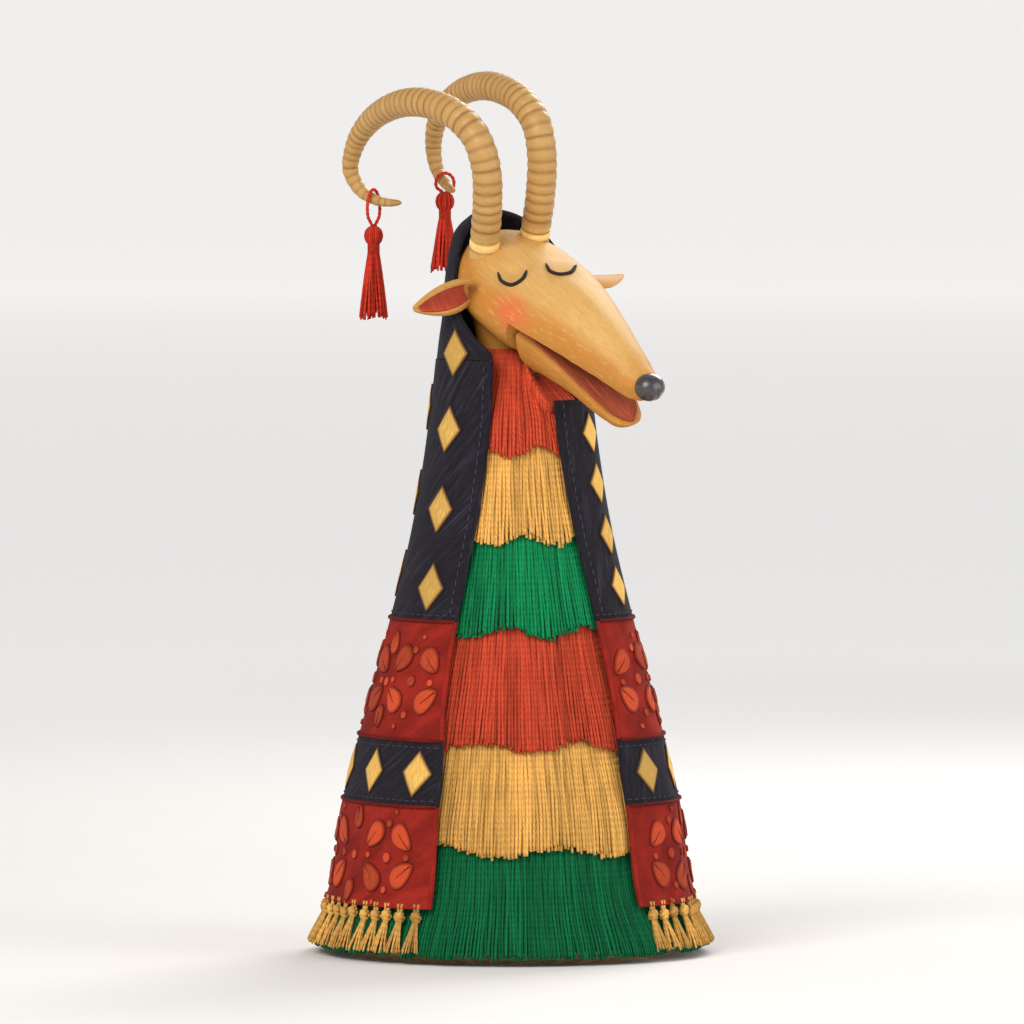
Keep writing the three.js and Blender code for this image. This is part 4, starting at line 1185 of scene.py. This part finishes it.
def build_leaf_bands(g):
    """Both leaf bands: woven ground, felt leaves, dots and couched threads."""
    ground = woven("leaf_band_cloth", g.leaf_ground)
    leaf = stitched_felt("leaf_motif_felt", g.leaf, g.leaf_edge)
    thread = spun_yarn("leaf_thread", scaled_rgb(g.leaf_ground, 0.42))
    depth, puff = g.fold / MM, g.leaf_puff / MM
    for top, foot, across, down, name in (
            (SEAM_YOKE, SEAM_LEAF, 160, 30, "upper"), (SEAM_DIAMOND, SEAM_HEM, 180, 28, "lower")):
        panel(top, foot + GAP, across, down, depth, "leaf_band_" + name, ground, "leaf_band",
              "band_leaf_" + name)
    for name, z, seed in (("upper", 132.5, 5), ("lower", 50, 9)):
        rng = random.Random(seed)
        motifs, threads = Shape(), Shape()
        start, stop = open_half(z) + 1, 359 - open_half(z)
        step = (stop - start) / 8
        edge = math.radians(step) * skin(180, z, depth) / 2

        def leaf_at(centre, x, y, long, wide, turn, lift=1.0):
            radius = skin(centre, z, depth)
            outline = leaf_outline(long, wide, rng.uniform(-0.5, 0.5))
            on_cape = patch(motifs, outline, centre + math.degrees(x / radius), z + y, depth,
                            puff * lift * rng.uniform(0.9, 1.15), rng.random(), turn)
            thread_round(threads, outline, on_cape, 0.15, 0.3, rng.uniform(0.2, 0.5))
            rib = [on_cape(0.0, long * (-0.42 + 0.6 * i / 8), puff * 1.12 * lift) for i in range(9)]
            threads.yarn(rib, away(rib), 0.24, 5, 0.75, 0.1, 1.4, 0.4)

        def dot_at(centre, x, y, size):
            radius = skin(centre, z, depth)
            patch(motifs, round_outline(size), centre + math.degrees(x / radius), z + y, depth,
                  puff * 0.9, rng.random())

        for k in range(8):
            centre = start + step * (k + 0.5)
            for j in range(4):
                a = TAU * (j + 0.5) / 4 + rng.uniform(-0.14, 0.14)
                far = 13.6 * rng.uniform(0.95, 1.05)
                leaf_at(centre, far * 1.06 * math.cos(a), far * math.sin(a), rng.uniform(14, 16),
                        rng.uniform(10, 11.6), math.pi / 2 - a)
            dot_at(centre, rng.uniform(-0.5, 0.5), rng.uniform(-0.5, 0.5), 2.7)
            for x, y, size in ((0, 15.5, 1.9), (13.5, 0, 1.8), (0, -15.5, 1.9),
                               (-13.5, 0, 1.6), (5, 21.5, 1.2), (-6, -21.5, 1.3)):
                dot_at(centre, x + rng.uniform(-0.8, 0.8), y + rng.uniform(-0.6, 0.6), size)
            if k < 7:
                for y, turn in ((17.5, math.pi), (-17.5, 0.0)):
                    leaf_at(centre, edge, y, 11, 7.6, turn, 0.9)
                dot_at(centre, edge, rng.uniform(-1, 1), 2.3)
        motifs.object("leaves_" + name, "figure", leaf, "brick_yarn")
        threads.object("leaf_threads_" + name, "figure", thread, "brick_yarn")


def build_seams(g):
    """Twisted piping over the seams, running stitches beside them and along the front edges."""
    cord = spun_yarn("seam_piping", scaled_rgb(g.leaf_ground, 0.55))
    silk = spun_yarn("edge_stitch", g.navy_light)
    depth = g.fold / MM
    shape = Shape()
    for z in (SEAM_YOKE + 0.15, SEAM_LEAF + 0.15, SEAM_DIAMOND + 0.15):
        h = open_half(z) + 0.4
        line = [polar(skin(a, z, depth) + 0.35, a, z) for a in
                (h + (360 - 2 * h) * k / 420 for k in range(421))]
        shape.yarn(line, away(line), 0.85, 8, 0.5, 0.2, 3.2)
    shape.object("seam_piping", "figure", cord, "leaf_band")
    stitches = Shape()

    def on_felt(heading, z):
        return polar(skin(heading, z, depth) + 0.1, heading, z)

    def stitch(a, b, out):
        line = [a.lerp(b, t) + out * (0.18 * math.sin(math.pi * t)) for t in (0, 0.25, 0.5, 0.75, 1)]
        stitches.yarn(line, [out] * 5, 0.28, 5, 0.5, 0.0)

    for side in (-1, 1):
        z = SEAM_YOKE + 4
        top = neckline(90) if side < 0 else neckline(30)
        while z < top - 4:
            a = side * (open_half(z) + 180 / math.pi * 3.4 / cape_radius(z))
            stitch(on_felt(a, z), on_felt(a, z + 2.6), polar(1, a, 0))
            z += 4.4
    for z, up in ((SEAM_YOKE, 3.0), (SEAM_LEAF, -3.0), (SEAM_DIAMOND, 3.0)):
        count = int(arc_length(z, 290) / 4.4)
        for k in range(count):
            a = 35 + 290 * k / count
            b = a + math.degrees(2.5 / cape_radius(z))
            stitch(on_felt(a, z + up), on_felt(b, z + up), polar(1, a, 0))
    stitches.object("running_stitches", "figure", silk, "navy_felt")


# ------------------------------------------------------------------ fringe
def tier_top(k, heading):
    """Top of a fringe tier, behind the one above."""
    if k:
        return TIER_EDGES[k] + TIER_LAP
    return TIER_EDGES[0] - 26 * smooth((heading + 6) / 30)


def tier_radius(z, lean):
    """Outer radius of a tier, drawn in to the neck at the top."""
    return cape_radius(z) - CLOTH - GAP - lean - max(0.0, z - 257) * 0.3


def build_tiers(f):
    """Six tiers of twisted yarn hanging from their tapes."""
    tints = (("red_yarn", f.red), ("ochre_yarn", f.ochre), ("green_yarn", f.green),
             ("brick_yarn", f.brick), ("ochre_yarn", f.ochre), ("green_yarn", f.deep_green))
    size, wave_depth = f.strand / MM, f.wave / MM
    for k, (slot, tint) in enumerate(tints):
        title = slot + ("_low_strands" if k == 5 else "_strands")
        yarn = bpy.data.materials.get(title) or spun_yarn(title, tint, 0.52)
        rng = random.Random(100 + k)
        bottom = TIER_EDGES[k + 1]
        whole = k == 5
        shape = Shape()

        def reach(z, top):
            return max(0.0, (z - bottom - 8) / max(1.0, top - bottom - 8)) * (TIER_CLOTH + GAP + 0.2)

        def edge(heading):
            wave = 0 if whole else wave_depth * math.sin(math.radians(heading) * 9 + k * 1.7)
            return bottom + wave

        span = 180 if whole else 50
        cols = 120 if whole else 42

        def face(inset):
            def surface(u, v):
                heading = -span + 2 * span * u
                top = tier_top(k, heading)
                z = top + (edge(heading) + 3.5 - top) * v
                return polar(tier_radius(z, reach(z, top)) - inset, heading, z)
            return surface

        shape.sheet(face(1.1), face(1.9), cols, 10, lambda u, v: (0.0, 60 * v, 0.3), 0.35, joined=whole)
        # The inner layer's strands take lower tones, as painted shade behind the outer layer.
        for inset, shift, shade_of_layer in ((0.95, 0.0, 0.9), (0.1, 0.5, 1.0)):
            mid = (bottom + tier_top(k, 0)) / 2
            pitch = math.degrees(1.62 / tier_radius(max(bottom + 6, mid - 14), 0))
            count = int(2 * STRANDS_TO / pitch)
            clump_far = rng.uniform(-0.3, 0.3)
            for i in range(count):
                if i % rng.choice((3, 4, 4, 5)) == 0:
                    clump_far, clump_out = rng.uniform(-0.75, 0.75), rng.uniform(-0.15, 0.4)
                    clump_tone, clump_drop = rng.random(), rng.uniform(-1.1, 1.1)
                heading = -STRANDS_TO + (i + shift) * pitch + rng.uniform(-0.1, 0.1) * pitch
                top = tier_top(k, heading)
                low = edge(heading) + clump_drop + rng.uniform(-0.9, 0.9) + (0.8 if whole else 0.0)
                low = max(low, LOWEST_YARN)
                steps = max(12, int((top - low) / 1.7))
                tone = 0.6 * rng.random() + 0.4 * clump_tone
                phase, sway = rng.uniform(0, TAU), rng.uniform(0.1, 0.4)
                line, outs = [], []
                for j in range(steps + 1):
                    t = j / steps
                    z = top + (low - top) * t
                    r = tier_radius(z, reach(z, top)) - size - inset
                    free = smooth((open_half(z) - abs(heading)) / 4)
                    r += free * (clump_out * t + 0.9 * t ** 3 + 0.25 * math.sin(phase + 5 * t))
                    side = clump_far * t ** 1.6 + sway * math.sin(phase + 7 * t)
                    at = heading + math.degrees(side / r)
                    line.append(polar(r, at, z))
                    outs.append(polar(1, at, 0))
                shape.yarn(line, outs, size * rng.uniform(0.92, 1.06), 6, tone * shade_of_layer, 0.14, 3.4, 0.8)
        if whole:
            count = 170
            for i in range(count):
                heading = 48 + 264 * i / (count - 1)
                low = LOWEST_YARN + rng.uniform(0, 1.5)
                line = [polar(tier_radius(z, 0) - size - 0.3, heading + rng.uniform(-0.15, 0.15), z)
                        for z in (57, 45, 34, 24, 16, 10, 6, low)]
                shape.yarn(line, [polar(1, heading, 0)] * 8, size * 1.25, 6, rng.random(), 0.0, 3.4, 0.8)
        shape.object("fringe_tier_%d" % (k + 1), "figure", yarn, slot, ["tier_%d" % (k + 1)])


def build_throat(f):
    """Short red strands from the neck out over the first tier."""
    rng = random.Random(61)
    shape, size = Shape(), f.strand / MM
    for layer in (0, 1):
        for i in range(30):
            heading = 6 + 51 * (i + 0.5 * layer) / 30 + rng.uniform(-0.3, 0.3)
            top = tier_top(0, heading)
            rim = tier_radius(top, TIER_CLOTH + GAP)
            rise = min(12, 285 - top)
            line = []
            for k in range(11):
                v = k / 10
                line.append(polar(NECK_RADIUS + 0.9 + (rim + 1.0 - NECK_RADIUS) * v, heading,
                                  top + 1.0 + 0.9 * layer + rise * (1 - v) - 1.2 * v ** 4))
            line.append(polar(rim + 1.7, heading, top - 2.4))
            line.append(polar(rim + 2.0, heading + rng.uniform(-1, 1), top - 6 - 3 * rng.random()))
            out = polar(0.4, heading, 0.9).normalized()
            shape.yarn(line, [out] * 13, size, 6, rng.random(), 0.14, 3.4, 0.8)
    shape.object("throat_strands", "figure", bpy.data.materials["red_yarn_strands"], "red_yarn",
                 ["throat_fringe"])


def build_hem(f, depth):
    """Knotted ochre tufts along the hem."""
    yarn = spun_yarn("hem_yarn", f.ochre, 0.5)
    rng = random.Random(77)
    shape = Shape()
    start, stop = open_half(SEAM_HEM) + 2.0, 360 - open_half(SEAM_HEM) - 2.0
    count = 52
    for k in range(count):
        heading = start + (stop - start) * (k + 0.5) / count + rng.uniform(-0.4, 0.4)
        base = skin(heading, SEAM_HEM, depth) - CLOTH / 2
        knot_z = 22.2 + rng.uniform(-0.5, 0.5)
        out = polar(1, heading, 0)
        side = polar(1, heading + 90, 0)
        tone = rng.random()
        centre = polar(base + 0.9, heading, knot_z)
        for turn in (-1, 1):
            line = [polar(base, heading, SEAM_HEM + 2.5) + side * (turn * 1.1),
                    polar(base + 0.2, heading, SEAM_HEM - 0.5) + side * (turn * 0.9),
                    centre + above(1.6) + side * (turn * 0.5)]
            shape.yarn(line, [out] * 3, 0.85, 6, tone, 0.0)
        for tilt, wide in ((0.0, 1.75), (1.05, 1.8), (2.1, 1.8)):
            a_way = side * math.cos(tilt) + above(math.sin(tilt))
            b_way = (out + above(0.35)).normalized()
            loop = [centre + a_way * (wide * math.cos(TAU * j / 16)) + b_way * (1.3 * math.sin(TAU * j / 16))
                    for j in range(17)]
            shape.yarn(loop, [(p - centre).normalized() for p in loop], 1.25, 7, tone + 0.08 * tilt, 0.1, 2.6)
        for j in range(11):
            a = TAU * (j + rng.uniform(-0.3, 0.3)) / 10
            spread = rng.uniform(3.0, 4.1) if j < 10 else 0.4
            low = 5.0 + rng.uniform(0.0, 1.7)
            line = []
            for i in range(11):
                t = i / 10
                z = knot_z - 1.0 + (low - knot_z + 1.0) * t
                grow = 0.75 + spread * t ** 1.15
                flare = cape_radius(z) - cape_radius(knot_z)
                p = polar(base + 0.5 + flare * 0.86, heading, z)
                line.append(p + side * (grow * math.cos(a)) + out * (0.55 * grow * math.sin(a)))
            shape.yarn(line, [out] * 11, 0.62, 6, 0.7 * tone + 0.3 * rng.random(), 0.12, 3.0, 0.7)
    shape.object("hem_tufts", "figure", yarn, "ochre_yarn", ["hem_fringe"])


def build_tassels(f):
    """Two red tassels hanging from the horn tips."""
    yarn = spun_yarn("tassel_yarn", f.tassel, 0.45)
    for name, side, drop, long in TASSELS:
        rng = random.Random(40 + side)
        line, _ = horn_points(side, 400)
        k = round(400 * TASSEL_AT)
        centre = HEAD @ line[k]
        along = HEAD.to_3x3() @ (line[k + 1] - line[k - 1]).normalized()
        flat = Vector((along.x, along.y, 0)).normalized()
        across = Vector((-flat.y, flat.x, 0))
        inner = horn_radius(TASSEL_AT) + 0.4 + 0.9
        half = inner + 0.8 + drop / 2
        mid = centre + above(inner - (half - 0.8))
        shape = Shape()
        loop, outs = [], []
        for i in range(73):
            a = TAU * i / 72 - math.pi / 2
            pinch = 1 - 0.5 * smooth(-math.sin(a) * 1.6 - 0.6)
            loop.append(mid + across * ((inner + 0.8) * math.cos(a) * pinch) + above(half * math.sin(a)))
            outs.append((across * math.cos(a) + above(math.sin(a))).normalized())
        shape.yarn(loop, outs, 0.78, 8, 0.6, 0.18, 2.2)
        top = mid.z - half + 0.4
        axis = Vector((mid.x, mid.y, 0))
        ball = []
        for i in range(34):
            a = math.pi * (i + 0.3) / 34
            rib = 0.12 * math.sin(i * 2.1)
            ball.append(((4.15 + rib) * math.sin(a) ** 0.86, top - BALL + BALL * math.cos(a)))
        rings = turned(ball, 30, axis)
        shape.rings(rings, [(TAU * j / 30 * 3, i * 1.1, 0.5) for i in range(34) for j in range(30)], 0.55)
        for i in range(26):
            way = level(TAU * i / 26)
            wrap = []
            for j in range(15):
                a = math.pi * (0.06 + 0.86 * j / 14)
                wrap.append(axis + way * (4.2 * math.sin(a) ** 0.86) + above(top - BALL + 4.45 * math.cos(a)))
            shape.yarn(wrap, [(p - axis - above(top - BALL)).normalized() for p in wrap], 0.5, 6,
                       rng.random(), 0.12, 2.4)
        coil, coil_out = [], []
        for i in range(111):
            way = level(TAU * i / 22)
            coil.append(axis + way * 2.55 + above(top - 8.4 - 0.52 * i / 22 * 1.5))
            coil_out.append(way)
        shape.yarn(coil, coil_out, 0.55, 6, 0.3, 0.0)
        for layer, count in ((0.72, 26), (1.0, 40)):
            for i in range(count):
                a = TAU * (i + rng.uniform(-0.25, 0.25)) / count
                way = level(a)
                low = top - long + 0.5 + rng.uniform(-0.6, 1.8) + (1.5 if layer < 1 else 0)
                phase, sway = rng.uniform(0, TAU), rng.uniform(0.05, 0.3)
                strand = []
                for j in range(19):
                    t = j / 18
                    z = top - 10.6 + (low - top + 10.6) * t
                    r = (2.0 + 4.7 * t ** 0.85) * layer + sway * math.sin(phase + 4 * t) * t
                    strand.append(axis + level(a + 0.1 * math.sin(phase + 3 * t)) * r + above(z))
                shape.yarn(strand, [way] * 19, 0.52, 6, rng.random(), 0.14, 3.0, 0.8)
        shape.object("tassel_yarn_" + name, "tassel_" + name, yarn, "red_yarn", ["tassel_" + name])


# ------------------------------------------------------------------ plain parts and stage
def dress_frame_nodes():
    """Materials for the frame's own parts that stay as they are."""
    pine = plain_wood("sanded_pine", (0.62, 0.42, 0.22), (0.42, 0.24, 0.10))
    dark = plain_wood("oiled_beech", (0.42, 0.22, 0.09), (0.24, 0.11, 0.04), 1.4)
    card = grey_card("stiff_paper", (0.45, 0.36, 0.25))
    steel = drawn_steel("pin_steel", (0.62, 0.62, 0.60))
    for names, material in ((("base_board", "post", "pull_rod"), pine), (("pull_knob",), dark),
                            (("cone_former",), card), (("jaw_pin",), steel)):
        for name in names:
            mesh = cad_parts[name].data
            mesh.materials.clear()
            mesh.materials.append(material)


def build_stage(s):
    """Round floor whose far rim curves up, soft lights, and the camera."""
    paint = Paint("pale_floor", 0.85, Emission_Strength=1.0)
    place = paint.add("ShaderNodeTexCoord", out=3)
    grain = paint.noise(place, 9.0, 4.0)
    far = paint.add("ShaderNodeVectorMath", {"operation": "LENGTH"}, {0: place}, out=1)
    paint.feed("Base Color", paint.mix(grain, scaled_rgb(s.floor, 0.985), scaled_rgb(s.floor, 1.01)))
    paint.feed("Emission Color", paint.mix(paint.step(far, 0.5, 2.6), (0, 0, 0), s.glow))
    rim = 1.5  # radius of the floor's upward curve, in metres
    rows = [(0.4, 0.0), (1.0, 0.0), (3.0, 0.0), (6.0, 0.0), (13.0, 0.0)]
    for k in range(1, 11):
        a = math.radians(9 * k)
        rows.append((13 + rim * math.sin(a), rim - rim * math.cos(a)))
    rows.append((14.5, 4.0))
    sides = 72
    points = [polar(r, 360 * i / sides, z) for r, z in rows for i in range(sides)]
    faces = [tuple(range(sides))]
    for k in range(len(rows) - 1):
        for i in range(sides):
            j = (i + 1) % sides
            faces.append((k * sides + i, (k + 1) * sides + i, (k + 1) * sides + j, k * sides + j))
    mesh = bpy.data.meshes.new("floor")
    mesh.from_pydata(points, [], faces)
    mesh.shade_smooth()
    mesh.materials.append(paint.material)
    placed("floor", mesh)

    world = bpy.data.worlds.new("studio")
    bpy.context.scene.world = world
    world.use_nodes = True
    sky = world.node_tree.nodes["Background"].inputs
    sky["Color"].default_value = (0.93, 0.95, 1.0, 1.0)
    sky["Strength"].default_value = 0.42
    for name, at, size, power, tint in (
            ("key", (-0.95, -1.25, 1.25), 0.9, 1.0, (1.0, 0.97, 0.93)),
            ("fill", (1.25, -1.0, 0.65), 1.1, 0.42, (0.95, 0.97, 1.0)),
            ("rim", (0.7, 1.0, 1.15), 0.7, 0.6, (1.0, 0.98, 0.95))):
        lamp = bpy.data.lights.new(name, "AREA")
        lamp.energy, lamp.size, lamp.color = s.key * power, size, tint
        made = placed(name, lamp)
        made.location = at
        made.rotation_euler = (Vector((0, 0, 0.2)) - Vector(at)).to_track_quat("-Z", "Y").to_euler()

    bpy.context.scene.view_settings.view_transform = "Standard"
    _, hi = CAD_BOX
    lens = bpy.data.cameras.new("camera")
    lens.lens = s.lens
    camera = placed("camera", lens)
    a, e = math.radians(s.azimuth), math.radians(s.elevation)
    back = Vector((math.sin(a) * math.cos(e), -math.cos(a) * math.cos(e), math.sin(e)))
    target = Vector((0, 0, hi.z / 2))
    tall = hi.z / 0.86
    camera.location = target + back * (tall / 2 / (18 / s.lens))
    camera.rotation_mode = "QUATERNION"
    camera.rotation_quaternion = (-back).to_track_quat("-Z", "Y")
    lens.clip_end = 50
    bpy.context.scene.camera = camera


# ------------------------------------------------------------------ operators
def operator(word, label, doc, work):
    """An operator class that does one job and raises if it can't."""
    def execute(self, context):
        work(context.scene.goat_figure)
        return {"FINISHED"}

    return type("GOAT_OT_" + word, (bpy.types.Operator,), {
        "__doc__": doc, "bl_idname": "goat." + word, "bl_label": label,
        "bl_options": {"REGISTER", "UNDO"}, "execute": execute})


OPERATORS = (
    operator("stage", "Stage", "Floor, lights and camera", lambda g: build_stage(g.stage)),
    operator("frame_parts", "Plain parts", "Materials of the parts that stay as they are",
             lambda g: dress_frame_nodes()),
    operator("head", "Head", "Carved head and neck", lambda g: build_head(g.carving)),
    operator("jaw", "Jaw", "Lower jaw and mouth linings", lambda g: build_jaw(g.carving)),
    operator("face", "Face", "Nose and closed lids", lambda g: build_face(g.carving)),
    operator("ears", "Ears", "Ears and their linings", lambda g: build_ears(g.carving)),
    operator("horns", "Horns", "Both ridged horns", lambda g: build_horns(g.carving)),
    operator("hood", "Hood", "Felt hood", lambda g: build_hood(g.garment)),
    operator("cape", "Cape", "Upper cape and diamond band", lambda g: build_cape(g.garment)),
    operator("leaf_bands", "Leaf bands", "Both leaf bands and their motifs",
             lambda g: build_leaf_bands(g.garment)),
    operator("diamonds", "Diamonds", "Felt diamonds", lambda g: build_diamonds(g.garment)),
    operator("seams", "Seams", "Piping and stitches", lambda g: build_seams(g.garment)),
    operator("tiers", "Fringe tiers", "Six tiers of yarn", lambda g: build_tiers(g.fringe)),
    operator("throat", "Throat", "Short fringe under the jaw", lambda g: build_throat(g.fringe)),
    operator("hem", "Hem tufts", "Knotted tufts of the hem",
             lambda g: build_hem(g.fringe, g.garment.fold / MM)),
    operator("tassels", "Tassels", "Both tassels", lambda g: build_tassels(g.fringe)),
)
GROUPS = (GoatCarving, GoatGarment, GoatFringe, GoatStage, GoatFigure)


class GOAT_PT_figure(bpy.types.Panel):
    """Lists the figure's pieces and settings."""
    bl_idname = "GOAT_PT_figure"
    bl_label = "Folk goat figure"
    bl_space_type = "VIEW_3D"
    bl_region_type = "UI"
    bl_category = "Goat"

    def draw(self, context):
        figure = context.scene.goat_figure
        for op in OPERATORS:
            self.layout.operator(op.bl_idname)
        for title in ("carving", "garment", "fringe", "stage"):
            box = self.layout.box()
            box.label(text=title.capitalize())
            group = getattr(figure, title)
            for key in group.bl_rna.properties.keys():
                if key not in ("rna_type", "name"):
                    box.prop(group, key)


def register():
    """Adds the classes and the settings."""
    for cls in (*GROUPS, *OPERATORS, GOAT_PT_figure):
        bpy.utils.register_class(cls)
    bpy.types.Scene.goat_figure = bpy.props.PointerProperty(
        type=GoatFigure, name="Goat figure", description="Settings of the goat figure")


def unregister():
    """Takes them away again."""
    del bpy.types.Scene.goat_figure
    for cls in reversed((*GROUPS, *OPERATORS, GOAT_PT_figure)):
        bpy.utils.unregister_class(cls)


def main():
    """Builds every piece in order and writes both boxes."""
    register()
    for op in OPERATORS:
        getattr(bpy.ops.goat, op.bl_idname.split(".")[1])()


if __name__ == "__main__":
    main()
